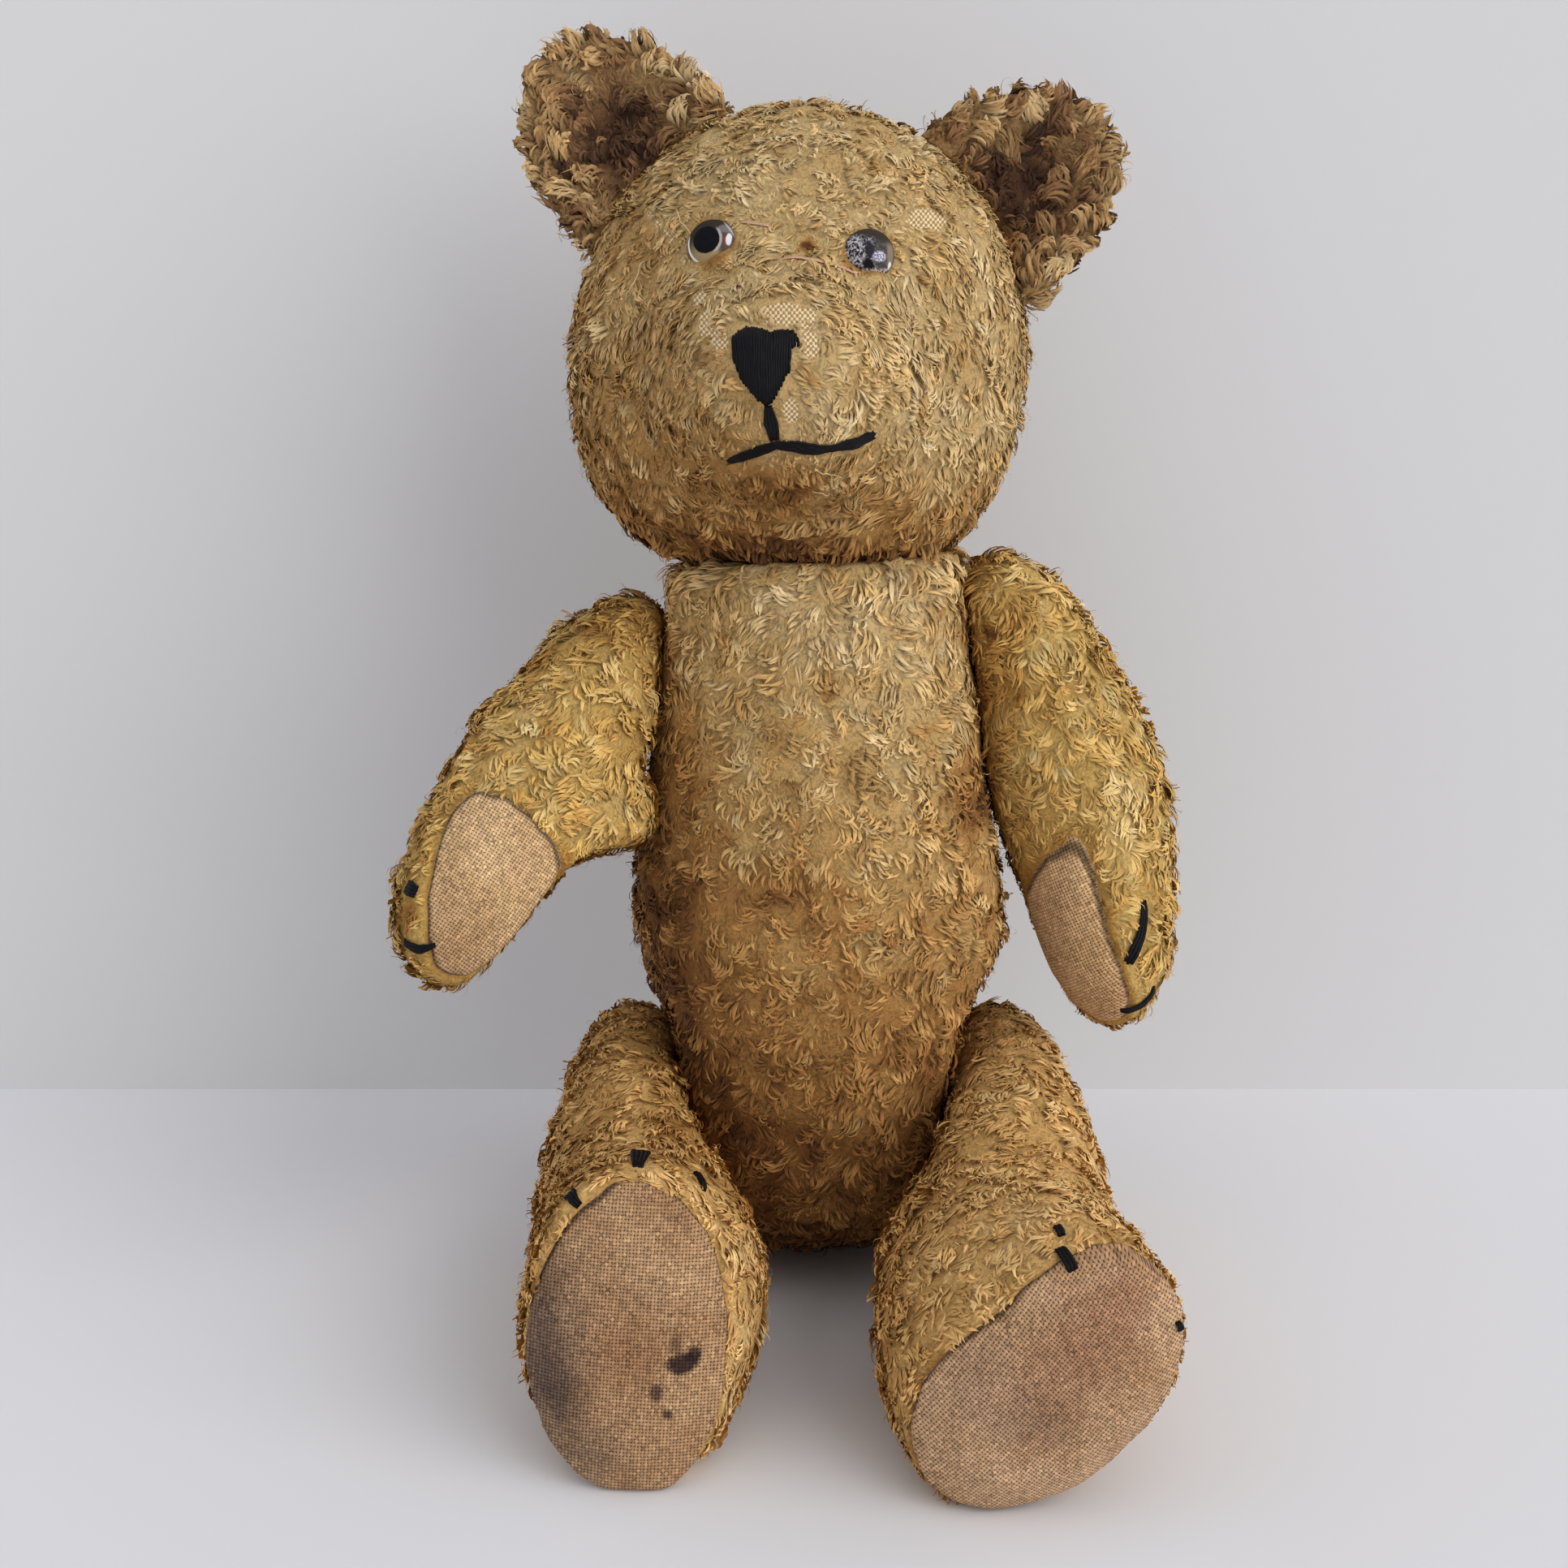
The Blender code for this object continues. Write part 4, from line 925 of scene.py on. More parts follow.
def makeHead():
    look = headLook
    skin = sewnForm("head_skin", ["head_cover"], look["voxel"])
    nudged(skin, look["moves"])
    settle(skin, 2)
    lumpy(skin, *look["lumps"], 21)
    tree = skinTrees["head"] = skinTree(skin)
    places = coordsOf(skin.data)
    brow = rise(places[:, 2], *look["brow"])
    sideways = np.sign(places[:, 0] + look["parting"]) * brow * 1.5
    base = np.stack([sideways, np.zeros(len(places)), -1 + 0.5 * brow], 1)
    field = baseField("head", skin, base, 0.9, 13 * mm, 20)
    places = field.places
    nose = np.array(fromFront(tree, *look["noseAt"])[0])
    turnedAway(field, nose, *look["noseSpread"])
    for side in sides:
        seat = eyeSeat(side)[0]
        off = (places - np.array(seat))[:, [0, 2]]
        away = np.linalg.norm(off, axis=1) + (places[:, 1] > 0)
        # pile grows in over the foot of each eye
        over = np.array(look["lids"][side])
        away += look["eyeFoot"] * rise(off @ over / np.maximum(away, 1 * mm), 0.55, 0.95) * (away < 9 * mm)
        edge = look["eyeRadius"]
        field.thick *= rise(away, edge - 0.6 * mm, edge + 0.5 * mm)
        field.size *= 0.5 + 0.5 * rise(away, edge, edge + 4 * mm)
        # painted shade in the socket round each eye
        field.tone += 0.34 * (1 - rise(away, edge, edge + 0.8 * mm))
    stained(field, look["stains"])
    wornBare(field, look["bare"])
    front = places[:, 1] < nose[1] + 26 * mm
    outline = [*look["noseTop"], *look["noseFoot"][::-1]]
    atX, atZ = look["noseAt"]
    wide = [((x - atX) * 1.06 + atX, (z - atZ) * 1.05 + atZ) for x, z in outline]
    inNose = front & insideOutline(places[:, 0] / mm, places[:, 2] / mm, wide)
    field.thick[inNose] = 0
    for line in (look["mouth"], look["lip"]):
        away = lineDistances(places, onFront(tree, line)) + cloud(places, 3 * mm, 23) * 0.5 * mm
        bare, short, full = look["clearOfMouth"]
        field.thick *= rise(away, bare, short)
        field.size *= 0.48 + 0.52 * rise(away, bare, full)
    dart = lineDistances(places, np.array(look["dart"]) * mm)
    field.thick *= 1 - 0.8 * np.exp(-(dart / (0.8 * mm)) ** 2)
    field.bare = np.maximum(field.bare, 0.8 * np.exp(-(dart / (0.7 * mm)) ** 2))
    field.curl += 0.5 * blot(places, *look["curly"], 0) - 0.35 * (1 - brow)
    # painted shade under the chin
    field.tone += 0.18 * (1 - rise(places[:, 2], *look["chinShade"])) + cloud(places, 8 * mm, 22) * 0.04
    dress("head", "head", ["head_cover"], skin, field, {**pileLook, **look["pile"]}, 200)
    makeNose(tree)
    makeMouth(tree)
    makeMarks(tree)
    for side in sides:
        makeEye(side)


noseLook = {"threads": 26, "wide": 0.86 * mm, "crown": 0.75 * mm, "lift": 0.35 * mm, "gather": 0.14}


def makeNose(tree):
    # satin stitches run down the nose side by side and draw together at its foot
    draw = np.random.default_rng(31)
    tops, feet = np.array(headLook["noseTop"]), np.array(headLook["noseFoot"])
    strands = []
    for i in range(noseLook["threads"]):
        share = (i + 0.5) / noseLook["threads"]
        x = tops[0, 0] + (tops[-1, 0] - tops[0, 0]) * share
        high = np.interp(x, tops[:, 0], tops[:, 1]) + draw.normal(0, 0.16)
        low = np.interp(x, feet[:, 0], feet[:, 1]) + draw.normal(0, 0.16)
        footX = x + (-12.8 - x) * noseLook["gather"] * (high - low) / 18
        points, widths, ups = [], [], []
        for k in range(13):
            t = k / 12
            spot, up = fromFront(tree, x + (footX - x) * t, high + (low - high) * t)
            arch = min(1.0, 7 * min(t, 1 - t))
            crown = noseLook["crown"] * (1 - (2 * share - 1) ** 2)
            lift = noseLook["lift"] + crown + draw.normal(0, 0.03) * mm
            points.append(spot + up * (lift * arch - 0.3 * mm * (1 - arch)))
            widths.append(noseLook["wide"])
            ups.append(up)
        strands.append((points, widths, ups))
    made = threadMesh("nose_satin_stitches", strands)
    dressThreads(made, "head", ["nose_stitching"], blackThread)


# widths: how far along, and how wide there in millimetres
mouthLook = {"widths": ((0, 0.12, 0.3, 0.38, 0.55, 0.68, 0.8, 0.94, 1),
                        (0.6, 2.2, 2.9, 2.6, 3.5, 2.3, 3.1, 3.0, 1.6)),
             "lipWidths": ((0, 0.5, 1), (1.7, 3.4, 2.2))}


def makeMouth(tree):
    rows = (("mouth_threads", "mouth", "widths", 5, 0.5 * mm, 41, "mouth_stitch"),
            ("lip_threads", "lip", "lipWidths", 4, 0.55 * mm, 42, "nose_to_mouth_stitch"))
    for name, line, widths, count, high, seed, node in rows:
        strands = sewnLine(tree, onFront(tree, headLook[line]),
                           lambda t: np.interp(t, *mouthLook[widths]) * mm, count, high, seed)
        dressThreads(threadMesh(name, strands), "head", [node], blackThread)


def makeMarks(tree):
    marks = (("pink_thread_marks", "pink", (0.60, 0.37, 0.25), 0.9, (0.8 * mm, 3, 0.42 * mm), 50),
             ("loose_threads", "loose", (0.62, 0.47, 0.27), 0.8, (0.28 * mm, 1, 1.2 * mm), 60))
    for name, lines, colour, shine, (wide, count, high), seed in marks:
        strands = []
        for i, line in enumerate(headLook[lines]):
            strands += sewnLine(tree, [Vector(p) * mm for p in line], lambda t: wide, count, high, seed + i)
        finish = threadFinish(lines + "Thread", colour, shine)
        dressThreads(threadMesh(name, strands), "head", [], finish)


# pattern: how many of the steps that the eyes' colours are laid out in go to a metre
eyeLook = {"radius": 6.6 * mm, "tall": 3.9 * mm, "sunk": 2.0 * mm, "rim": 1.2 * mm, "around": 40, "rings": 11,
           "pattern": 925}


def eyeFinish(side, middle, facing):
    # one eye is clear over a black pupil off its middle; the silvering behind the other has crazed; both
    # carry painted highlights and glints, and painted shade round the edge
    made = Finish(side + "EyeGlass", Roughness=0.5, Coat_Weight=0.22, Coat_Roughness=0.02,
                  Coat_IOR=1.4, Specular_IOR_Level=0.0)
    where = made.place()
    across = Vector((0, 0, 1)).cross(-facing).normalized()
    across = across if across.x > 0 else -across
    up = facing.cross(across)
    up = up if up.z > 0 else -up
    x, z = (made.towards(where, way, middle) * eyeLook["pattern"] for way in (across, up))
    grain = made.noise(900, 3, 0.65, where)
    fine = made.noise(2400, 3, 0.7, where)
    jag = (grain - 0.5) * 0.8

    def patch(atX, atZ, wide, tall, soft=0.25):
        offX, offZ = (x - atX) / wide, (z - atZ) / tall
        return ((offX * offX + offZ * offZ) ** 0.5 + jag * 0.8).over(1 + soft, 1 - soft)

    reach = (x * x + z * z) ** 0.5
    if side == "right":
        colour = made.mix((z - x * 0.4).over(-3.0, 3.0), (0.36, 0.27, 0.13), (0.035, 0.026, 0.02))
        ringX, ringZ = x + 0.75, z - 0.3
        ring = (ringX * ringX + ringZ * ringZ) ** 0.5
        layers = (
            ((x + jag).over(1.8, 3.4), (0.085, 0.07, 0.065)),
            (patch(3.3, 3.2, 1.6, 1.0) * 0.8, (0.20, 0.18, 0.18)),
            (patch(3.4, 0.6, 0.7, 1.5), (0.14, 0.06, 0.05)),
            # painted glint on the glass
            (patch(4.5, 0.7, 0.6, 1.5), (0.80, 0.76, 0.77)),
            (ring.over(3.1, 3.35) * ring.over(4.0, 3.7) * x.over(1.0, 2.2) * 0.7, (0.52, 0.50, 0.50)),
            ((ring + jag * 0.5).over(3.4, 3.15), made.scaled((0.006, 0.006, 0.008), grain + 0.5)),
            # painted highlight in a crescent round the lower rim
            (reach.over(5.05, 5.3) * reach.over(5.85, 5.6) * (x * -0.85 - z * 0.5).over(3.4, 4.6),
             (0.92, 0.90, 0.84)),
            # painted highlight along the upper rim
            ((x * 0.75 + z * 0.62).over(4.9, 5.2) * reach.over(5.9, 5.6) * 0.6, (0.55, 0.52, 0.53)))
    else:
        bright = made.split(made.cells(1700, where, "Color"), 0)
        crack = made.cells(1700, where, "Distance", "DISTANCE_TO_EDGE").over(0.0, 0.10)
        colour = made.mix(bright.over(0.2, 0.9), (0.018, 0.016, 0.018), (0.52, 0.50, 0.53))
        violet = made.mix(fine.over(0.4, 0.6), (0.16, 0.15, 0.20), (0.74, 0.72, 0.86))
        dust = made.mix(fine.over(0.47, 0.5), (0.08, 0.065, 0.055), (0.58, 0.52, 0.43))
        layers = (
            # white flecks: painted glints on the crazed silvering
            (fine.over(0.58, 0.66), (0.92, 0.93, 0.96)),
            ((1 - crack) * 0.75, (0.04, 0.035, 0.035)),
            ((x + jag * 4).over(0.4, 1.8), made.scaled((0.07, 0.062, 0.06), bright + 0.5)),
            (patch(0.1, 0.6, 1.2, 1.8), (0.028, 0.028, 0.033)),
            (patch(-0.2, -2.8, 1.2, 1.5), (0.01, 0.009, 0.009)),
            (patch(2.3, -0.9, 1.5, 1.2), violet),
            ((x + jag).over(3.8, 4.6), (0.24, 0.19, 0.14)),
            ((jag * 2 - z).over(3.3, 3.9), dust),
            ((z + x * 0.25 + jag * 2).over(2.6, 4.4), (0.045, 0.034, 0.028)),
            # painted glint low on the right
            (patch(4.9, -3.4, 0.5, 1.4), (0.85, 0.84, 0.82)))
    for share, tint in layers:
        colour = made.mix(share, colour, tint)
    # painted shade round the edge of the glass
    rim = (reach + jag * 0.3).over(5.55, 6.0)
    made.set("Base Color", made.mix(rim * 0.85, colour, (0.045, 0.035, 0.03)))
    return made.material


def makeEye(side):
    # a blown dome of glass on a narrow rim that sits in the pile
    middle, facing = eyeSeat(side)
    across = facing.orthogonal().normalized()
    beside = facing.cross(across)
    middle = middle - facing * eyeLook["sunk"]
    mesh = bmesh.new()
    rings = []
    for k in range(-1, eyeLook["rings"]):
        bend = pi / 2 * max(k, 0) / eyeLook["rings"]
        height = eyeLook["tall"] * sin(bend) ** 0.95 - (eyeLook["rim"] if k < 0 else 0) + eyeLook["sunk"]
        rings.append(ringOf(mesh, lambda turn: middle + (across * cos(turn) + beside * sin(turn))
                            * eyeLook["radius"] * cos(bend) + facing * height, eyeLook["around"]))
    tip = mesh.verts.new(middle + facing * (eyeLook["tall"] + eyeLook["sunk"]))
    joinRings(mesh, rings)
    for i, vert in enumerate(rings[-1]):
        mesh.faces.new((vert, rings[-1][(i + 1) % eyeLook["around"]], tip))
    mesh.faces.new(rings[0][::-1])
    bmesh.ops.recalc_face_normals(mesh, faces=mesh.faces)
    data = meshOf(mesh, side + "_eye_dome")
    for face in data.polygons:
        face.use_smooth = len(face.vertices) < 5
    made = tempObject(side + "_eye_dome", data)
    data.materials.append(eyeFinish(side, middle, facing))
    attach(made, "head")
    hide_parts(side + "_eye_glass", side + "_eye_pupil")


# seam: a point in its plane, which way its pad looks, how it bends and how far out that holds;
# stains: centre, reach, softness, colour, strength
padLook = {
    "pitch": 0.84 * mm, "fill": 0.85,
    "right_paw": {
        "seam": ((-86.2, -59.5, 129.6), (0.298, -0.919, 0.258), (0.32, 1.04, -0.19, 0.02), 2.9),
        "clean": (0.74, 0.49, 0.26), "faded": (0.60, 0.375, 0.18), "slant": 38, "light": 0.71, "gaps": 0.52,
        "stains": (((-94, -66, 116), (13, 12, 12), 0.9, (0.42, 0.23, 0.11), 0.7),
                   ((-92, -62, 128), (9, 12, 6), 0.9, (0.45, 0.26, 0.13), 0.4))},
    "left_paw": {
        "seam": ((70, -30.2, 107.7), (-0.703, -0.693, -0.161), (-0.08, -0.38, 0.22, 0.09), 2.9),
        "clean": (0.70, 0.45, 0.23), "faded": (0.56, 0.34, 0.16), "slant": -30, "light": 0.74, "gaps": 0.48,
        "stains": (((80, -40, 90), (14, 14, 14), 0.9, (0.44, 0.24, 0.12), 0.6),
                   ((66, -28, 112), (5, 12, 22), 0.9, (0.42, 0.25, 0.13), 0.5))},
    "right_foot": {
        "seam": ((-47, -121.1, 37.2), (0.015, -0.970, 0.250), (0.01, -0.49, 0.03, 0), 4.2),
        "clean": (0.56, 0.345, 0.185), "faded": (0.42, 0.230, 0.112), "slant": 4, "light": 0.64, "gaps": 0.58,
        "stains": (((-50, -130, 38), (12, 30, 22), 1.0, (0.33, 0.160, 0.078), 0.5),
                   ((-68, -128, 34), (13, 30, 31), 0.9, (0.150, 0.095, 0.072), 0.85),
                   ((-63, -133, 26), (8, 20, 9), 0.9, (0.085, 0.058, 0.05), 0.6),
                   ((-56, -133, 12), (11, 20, 9), 0.9, (0.14, 0.09, 0.07), 0.5),
                   ((-33, -130.9, 32.4), (4.2, 8, 2.7), 0.35, (0.035, 0.018, 0.017), 0.95),
                   ((-30.4, -130.9, 34), (2.2, 8, 2.0), 0.4, (0.035, 0.018, 0.017), 0.9),
                   ((-34.6, -131, 37), (1.8, 8, 3.6), 0.8, (0.16, 0.08, 0.05), 0.7),
                   ((-39.5, -133.4, 26.3), (1.9, 8, 2.4), 0.6, (0.07, 0.035, 0.03), 0.85),
                   ((-36.8, -134.5, 21.1), (1.4, 8, 1.2), 0.6, (0.05, 0.028, 0.025), 0.85))},
    "left_foot": {
        "seam": ((55, -138, 32.1), (0.046, -0.997, 0.083), (0.17, -0.41, 0.08, -0.01), 4.2),
        "clean": (0.60, 0.375, 0.215), "faded": (0.46, 0.262, 0.132), "slant": 38, "light": 0.70,
        "gaps": 0.58,
        "stains": (((70, -143, 55), (10, 30, 8), 0.9, (0.34, 0.145, 0.075), 0.55),
                   ((63, -146, 47), (13, 30, 11), 1.0, (0.35, 0.165, 0.090), 0.6),
                   ((54, -147, 38), (14, 30, 10), 1.0, (0.34, 0.165, 0.095), 0.55),
                   ((48, -148, 27), (13, 30, 8), 1.0, (0.26, 0.145, 0.095), 0.6),
                   ((36, -146, 36), (9, 30, 12), 1.0, (0.36, 0.215, 0.14), 0.5))},
}


def seamOf(name):
    return Seam(*padLook[name]["seam"])


def makePad(weave, name, body, node):
    weave.data.materials.clear()
    weave.data.materials.append(padFinish(name + "Weave", padLook[name], seamOf(name)))
    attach(weave, body)
    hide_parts(node)


def clearOfPad(field, seam):
    # pile beside a pad is short and lies partly away from its seam
    off = -seam.beyond(field.places)
    share = (1 - rise(off, 0.0, 4.0 * mm)) * 0.45
    facing = np.array(seam.facing)
    away = -facing + field.normals * (field.normals @ facing)[:, None]
    field.lie = unit(field.lie * (1 - share)[:, None] + unit(away) * share[:, None])
    low = (1 - rise(field.normals[:, 2], -0.3, 0.4)) * (1 - rise(off, 2 * mm, 9 * mm))
    field.size *= (0.62 + 0.38 * rise(off, 0, 4 * mm)) * (1 - 0.5 * low)
    field.thick *= 1 + 0.6 * (1 - rise(off, 0, 2.5 * mm))
    field.tone += 0.30 * (1 - rise(off, 0, 1.8 * mm))


# claws: points along each, its width at both ends and the middle, and how many threads
limbLook = {
    "right_arm": {
        "flats": (((-67.2, -60, 127.8), (0.711, 0.12, -0.693), 0.12),
                  ((-56, -4, 190.5), (-0.36, 0, 0.93), 0.25)),
        "moves": (((-37, 0, 186), (8, 18, 14), (0.5, 0, 5.0)),
                  ((-54, -32, 138), (22, 32, 22), (6.0, 0, -5.0)),
                  ((-52, -32, 140), (15, 28, 19), (7.0, 0, -2.4)),
                  ((-84, -26, 160), (20, 30, 22), (-2.2, 0, 2.0))),
        "stains": (((-50, -12, 188), (14, 12, 9), 0.14), ((-66.5, -50, 125), (9, 10, 12), 0.26),
                   ((-52, -24, 140), (10, 14, 14), 0.12), ((-104.5, -63.5, 122.5), (4, 6, 5), 0.30)),
        "claws": (((-106.8, -60.4, 129.9), (-102.4, -63.6, 128.7), (3.2, 3.9, 3.0), 4),
                  ((-107.0, -63.9, 116.4), (-101.9, -68.1, 115.2), (-97.2, -69.9, 116.9),
                   (1.0, 2.7, 1.0), 3))},
    "left_arm": {
        "flats": (), "moves": (((48, -30, 136), (12, 28, 30), (-3.2, 0, 0)),),
        "stains": (((49, -13, 188), (8, 12, 12), 0.10), ((50, -16, 180), (8, 10, 16), 0.26),
                   ((62, -24, 172), (12, 10, 10), 0.08)),
        "claws": (((87.8, -35.0, 118.0), (87.0, -36.7, 111.4), (86.2, -37.8, 108.0), (83.0, -40.0, 101.0),
                   (1.7, 2.6, 3.0), 3),
                  ((92.0, -34.0, 93.0), (88.2, -36.2, 88.0), (82.0, -37.3, 86.4), (1.4, 2.0, 1.6), 2))},
    "right_leg": {
        "flats": (), "moves": (((-74, -100, 48), (14, 44, 28), (2.4, 0, 0)),),
        "stains": (((-36, -60, 66), (10, 50, 14), 0.26), ((-40, -30, 76), (16, 18, 10), 0.22),
                   ((-28, -90, 50), (10, 24, 20), 0.20), ((-60, -60, 66), (12, 24, 14), 0.08)),
        "claws": (((-62.6, -111.4, 69.6), (-58.2, -116.0, 66.4), (3.4, 3.0, 1.8), 3),
                  ((-44.6, -91.0, 71.6), (-44.8, -98.0, 71.4), (-44.8, -105.0, 70.8), (5.0, 4.2, 2.4), 4),
                  ((-30.8, -95.6, 66.8), (-28.4, -101.6, 64.0), (1.6, 2.0, 1.6), 2))},
    "left_leg": {
        "flats": (), "moves": (),
        "stains": (((30, -80, 58), (10, 30, 14), 0.12), ((62, -56, 70), (14, 18, 10), 0.05)),
        "claws": (((55.6, -124.4, 65.2), (56.6, -127.6, 64.2), (1.8, 2.0, 1.8), 2),
                  ((55.4, -131.2, 63.4), (58.4, -137.2, 59.8), (2.6, 2.8, 2.6), 3),
                  ((82.0, -138.6, 48.0), (83.4, -139.6, 46.0), (1.3, 1.6, 1.3), 2))},
}


limbStyle = {"voxel": 1.7 * mm, "clawHigh": 0.75 * mm, "disc": {"arm": "_shoulder_disc", "leg": "_hip_disc"},
             "pile": {"arm": {}, "leg": {"perSqCm": 51, "long": 4.6 * mm, "rise": 0.8 * mm, "curl": 1.5,
                                         "lightJitter": 0.15}}}


def makeClaws(tree, claws, nodes, body):
    for seed, (claw, node) in enumerate(zip(claws, nodes)):
        line, wide, count = [Vector(p) * mm for p in claw[:-2]], claw[-2], claw[-1]
        strands = sewnLine(tree, line, lambda t: np.interp(t, (0, 0.5, 1), wide) * mm, count,
                           limbStyle["clawHigh"], 70 + seed)
        dressThreads(threadMesh(node + "_threads", strands), body, [node], blackThread)


def makeLimb(side, limb, seed):
    body, pad = side + "_" + limb, side + "_" + padOf[limb]
    look, cover, padNode = limbLook[body], body + "_cover", pad + "_pad"
    skin = sewnForm(body + "_skin", [cover, padNode], limbStyle["voxel"])
    flattened(skin, look["flats"])
    nudged(skin, look["moves"])
    settle(skin, seed)
    tree = skinTrees[body] = skinTree(skin)
    seam = seamOf(pad)
    weave = splitPad(skin, pad + "_weave", seam)
    axis = nodeCoords(padNode).mean(0) - nodeCoords(side + limbStyle["disc"][limb]).mean(0)
    base = np.tile(axis, (len(skin.data.vertices), 1))
    field = baseField(body, skin, base, 1.25, 8 * mm, seed * 10)
    field.curl += 0.25
    field.tone += cloud(field.places, 9 * mm, seed + 7) * 0.06
    stained(field, look["stains"])
    clearOfPad(field, seam)
    for claw in look["claws"]:
        off = lineDistances(field.places, [tree.find_nearest(Vector(p) * mm)[0] for p in claw[:-2]])
        half = claw[-2][1] / 2 * mm
        field.thick *= rise(off, half + 0.3 * mm, half + 1.6 * mm)
        field.size *= 0.45 + 0.55 * rise(off, half, half + 4 * mm)
    if limb == "leg":
        # painted light: a leg is lighter where it faces front and towards the bear's left, where the light
        # comes from
        field.tone -= 0.09 * rise(field.normals[:, 0] - field.normals[:, 1], 0.2, 1.2)
    dress(limb, body, [cover], skin, field, {**pileLook, **limbStyle["pile"][limb]}, 300 + seed)
    makePad(weave, pad, body, padNode)
    makeClaws(tree, look["claws"], [pad + "_claw_" + str(k + 1) for k in range(len(look["claws"]))], body)


earLook = {
    "voxel": 1.2 * mm, "smoothing": 3,
    "right": (((-60, 28, 338), (28, 24, 18), (1.0, 0, -2.8)),),
    "left": (((76, 18, 324), (24, 24, 24), (-2.2, 0, -0.8)), ((58, 18, 334), (22, 24, 12), (0, 0, -1.2))),
    "pile": {"perSqCm": 75, "long": 6.2 * mm, "wide": 1.0 * mm, "rise": 1.25 * mm, "curl": 2.2, "turn": 0.65,
             "tilt": 0.35, "soften": 0.5, "strays": 0.10, "perTuft": 18, "tuftReach": 6 * mm, "pull": 0.85,
             "toneJitter": 0.10, "lightJitter": 0.3},
}


def makeEar(side):
    node = side + "_ear"
    skin = tempObject(node + "_skin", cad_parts[node].data.copy())
    evened(skin, earLook["voxel"], earLook["smoothing"])
    nudged(skin, earLook[side])
    smooth(skin.data)
    places = coordsOf(skin.data)
    middle, root = places.mean(0), nodeCoords("head_cover").mean(0)
    field = baseField(node, skin, places - root, 0.9, 6 * mm, 50)
    front = rise(-field.normals[:, 1], -0.1, 0.45)
    hollow = middle + unit(root - middle) * 3 * mm
    deep = 1 - rise(np.linalg.norm((places - hollow)[:, [0, 2]], axis=1), 5 * mm, 19 * mm)
    # painted shade darkens the front of the ear, most of all in its hollow
    field.tone = 0.34 + cloud(places, 6 * mm, 51) * 0.16 + front * (0.06 + deep * 0.55)
    field.light -= 0.25 * front * deep
    field.size *= 1 - 0.25 * front * deep
    dress("ear", "head", [node], skin, field, {**pileLook, **earLook["pile"]}, 500 + len(side))


makeBody()
makeHead()
for i, side in enumerate(sides):
    makeLimb(side, "arm", 3 + i)
    makeLimb(side, "leg", 5 + i)
    makeEar(side)
print("pile, pads and stitches made")


def speckled(name, grain, share, colours, bump=None, **fixed):
    # two colours that meet along a fine grain
    made = Finish(name, **fixed)
    fleck = made.noise(*grain)
    made.set("Base Color", made.mix(fleck.over(*share), *colours))
    if bump:
        made.bump(fleck, *bump)
    return made, fleck


def hiddenFinishes():
    # what is inside: wood wool, pressed fibre discs and steel, seen where a seam opens
    wool = speckled("woodWool", (260, 4, 0.7, None, 2.5), (0.35, 0.65),
                    ((0.34, 0.24, 0.12), (0.72, 0.59, 0.36)), (0.9, 0.0012), Roughness=0.9)[0]
    board = speckled("fibreboard", (700, 3, 0.7), (0.35, 0.7), ((0.20, 0.125, 0.06), (0.36, 0.245, 0.13)),
                     (0.5, 0.0003), Roughness=0.8)[0]
    steel, rust = speckled("steel", (420, 4, 0.65), (0.56, 0.7), ((0.50, 0.48, 0.45), (0.20, 0.09, 0.04)),
                           Metallic=1.0)
    steel.set("Roughness", rust.over(0.4, 0.75, (0.32, 0.8)))
    return {"stuffing": wool.material, "disc": board.material,
            "washer": steel.material, "pin": steel.material}


def stuffed(part, tree, material):
    # the wood wool of a part, kept inside its reshaped cover
    node = part + "_stuffing"
    made = tempObject(node + "_wool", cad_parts[node].data.copy())
    places = coordsOf(made.data)
    for i, place in enumerate(places):
        spot, up = tree.find_nearest(Vector(place))[:2]
        over = (Vector(place) - spot).dot(up) + skinForm["woolIn"]
        if over > 0:
            places[i] = Vector(place) - up * over
    setCoords(made.data, places)
    made.data.materials.clear()
    made.data.materials.append(material)
    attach(made, part)
    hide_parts(node)


hidden = hiddenFinishes()
for part, tree in skinTrees.items():
    stuffed(part, tree, hidden["stuffing"])
for name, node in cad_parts.items():
    material = hidden.get(name.split("_")[-1])
    if material:
        for place in node.material_slots:
            place.material = material
print("hidden parts finished")

stageLook = {"wallAt": 0.118, "reach": 3, "wall": (0.705, 0.705, 0.715), "table": (0.825, 0.825, 0.855),
             "backdrop": (0.64, 0.64, 0.66), "sky": (0.90, 0.92, 0.96), "skyLight": 0.70,
             "window": (2.48, -2.03, 1.65), "windowWide": 58, "windowLight": 1.5,
             "windowColour": (1.0, 0.975, 0.94)}
cameraLook = {"lens": 53.66, "at": (-0.009, -0.6328, 0.310), "tilt": 75}


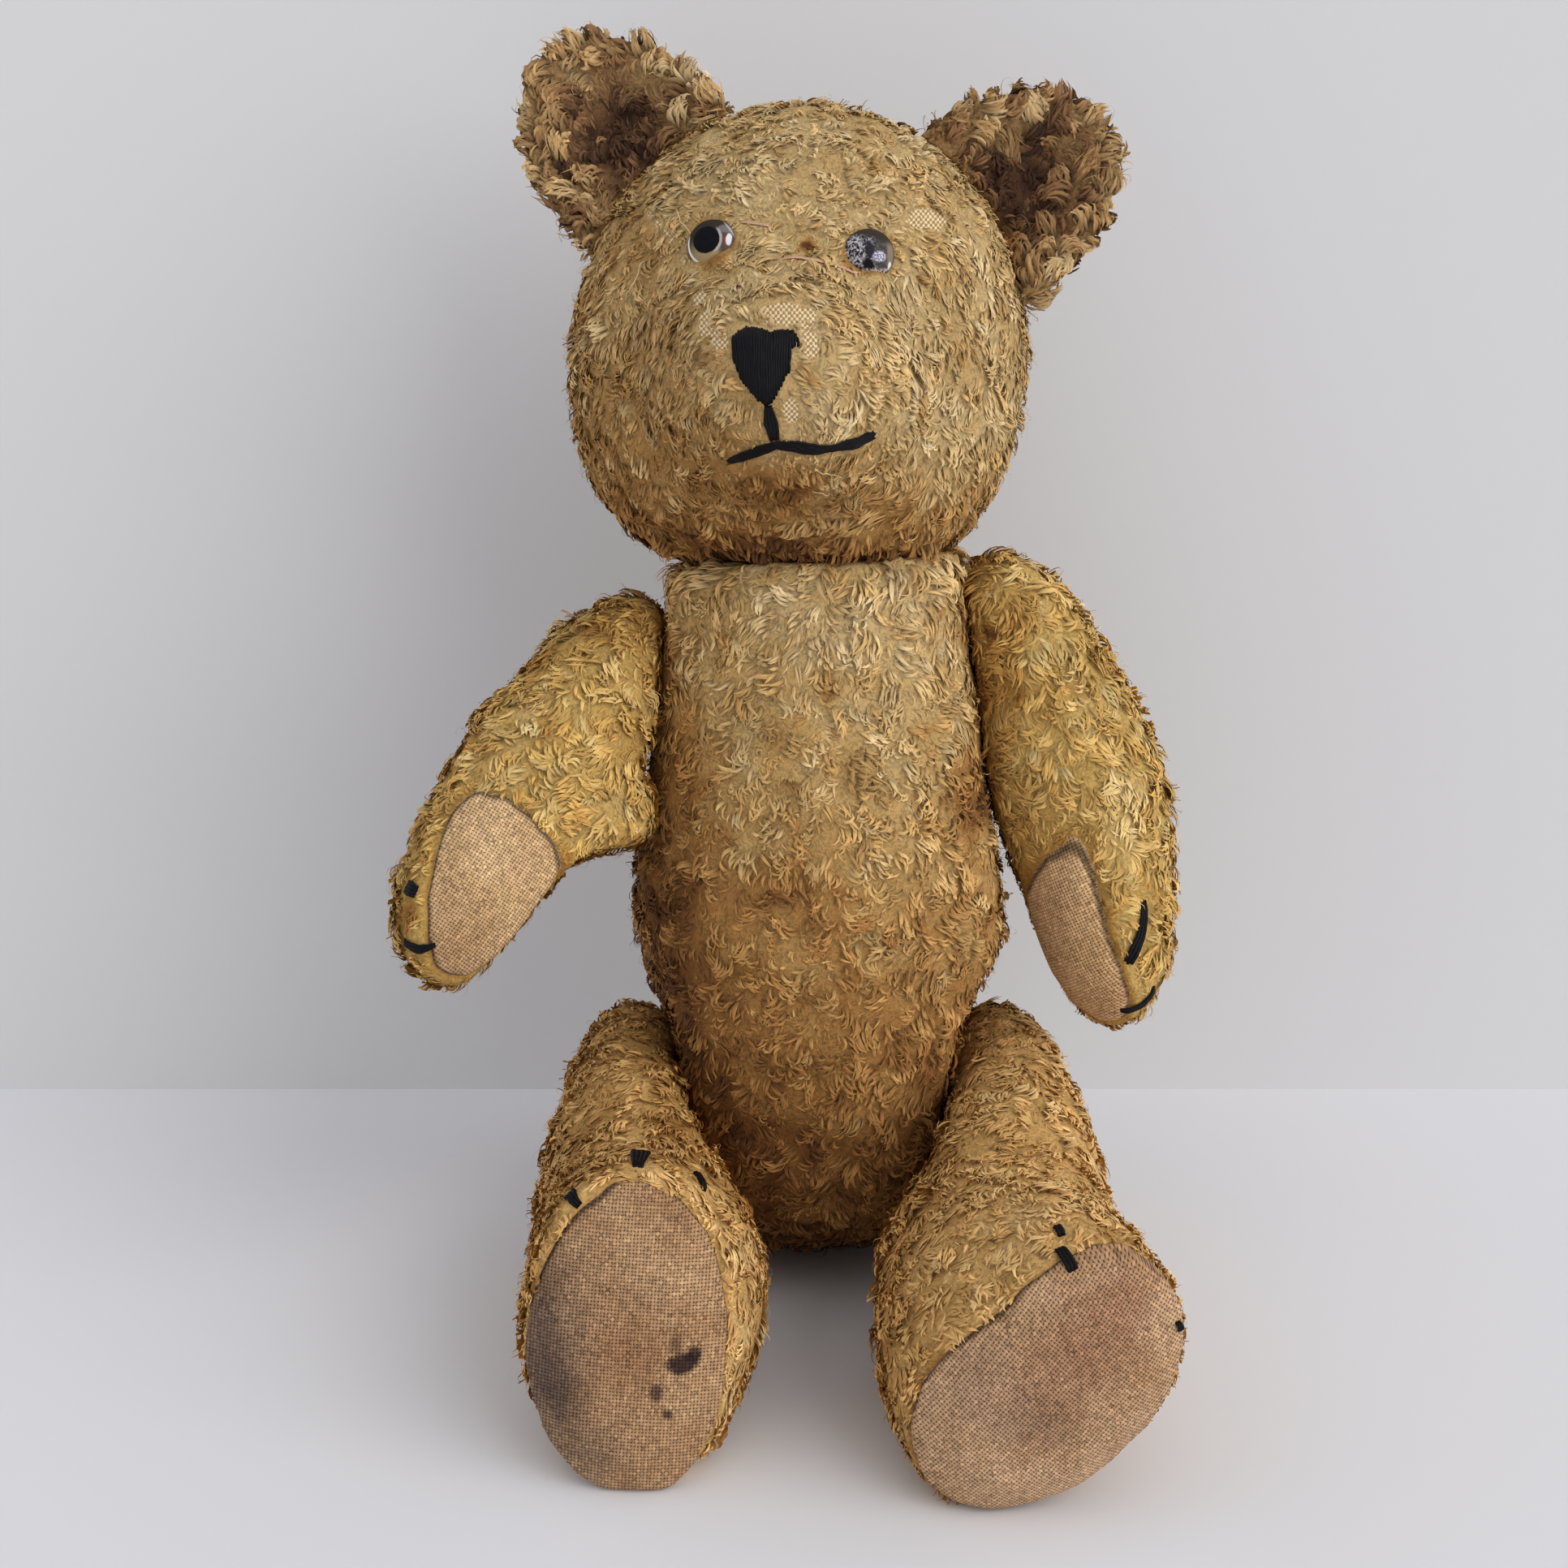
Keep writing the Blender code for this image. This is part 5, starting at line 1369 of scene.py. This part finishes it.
def plane(name, corners, colour):
    mesh = bpy.data.meshes.new(name)
    mesh.from_pydata(corners, [], [(0, 1, 2, 3)])
    made = tempObject(name, mesh)
    look = Finish(name + "Paint", Roughness=0.85, Specular_IOR_Level=0.15)
    look.set("Base Color", colour)
    mesh.materials.append(look.material)
    return look


back, far = stageLook["wallAt"], stageLook["reach"]
plane("table", [(-far, -far, 0), (far, -far, 0), (far, far, 0), (-far, far, 0)], stageLook["table"])
wall = plane("wall", [(-far, back, 0), (far, back, 0), (far, back, far), (-far, back, far)],
             stageLook["wall"])
# the wall is there for what stands before it: light and looks from behind pass through
clear = wall.node("ShaderNodeBsdfTransparent")
behind = wall.node("ShaderNodeNewGeometry", out="Backfacing").highest(
    wall.node("ShaderNodeLightPath", out="Is Shadow Ray"))
seen = wall.node("ShaderNodeMixShader", {}, {0: behind, 1: Term(wall, wall.shader.outputs[0]), 2: clear})
wall.put(wall.output.inputs["Surface"], seen)

world = bpy.data.worlds.new("room")
bpy.context.scene.world = world
world.use_nodes = True
room = world.node_tree
sky = room.nodes["Background"]
sky.inputs[0].default_value = (*stageLook["sky"], 1)
sky.inputs[1].default_value = stageLook["skyLight"]
plain = room.nodes.new("ShaderNodeBackground")
plain.inputs[0].default_value = (*stageLook["backdrop"], 1)
ray, choose = room.nodes.new("ShaderNodeLightPath"), room.nodes.new("ShaderNodeMixShader")
room.links.new(ray.outputs["Is Camera Ray"], choose.inputs[0])
room.links.new(sky.outputs[0], choose.inputs[1])
room.links.new(plain.outputs[0], choose.inputs[2])
room.links.new(choose.outputs[0], room.nodes["World Output"].inputs["Surface"])

light = bpy.data.lights.new("windowLight", "SUN")
light.angle, light.energy = radians(stageLook["windowWide"]), stageLook["windowLight"]
light.color = stageLook["windowColour"]
window = bpy.data.objects.new("windowLight", light)
bpy.context.scene.collection.objects.link(window)
window.rotation_euler = (-Vector(stageLook["window"])).to_track_quat("-Z", "Y").to_euler()

camera = bpy.data.cameras.new("camera")
camera.lens = cameraLook["lens"]
eye = bpy.data.objects.new("camera", camera)
bpy.context.scene.collection.objects.link(eye)
eye.location = cameraLook["at"]
eye.rotation_euler = (radians(cameraLook["tilt"]), 0, 0)
bpy.context.scene.camera = eye
bpy.context.scene.view_settings.view_transform = "Standard"
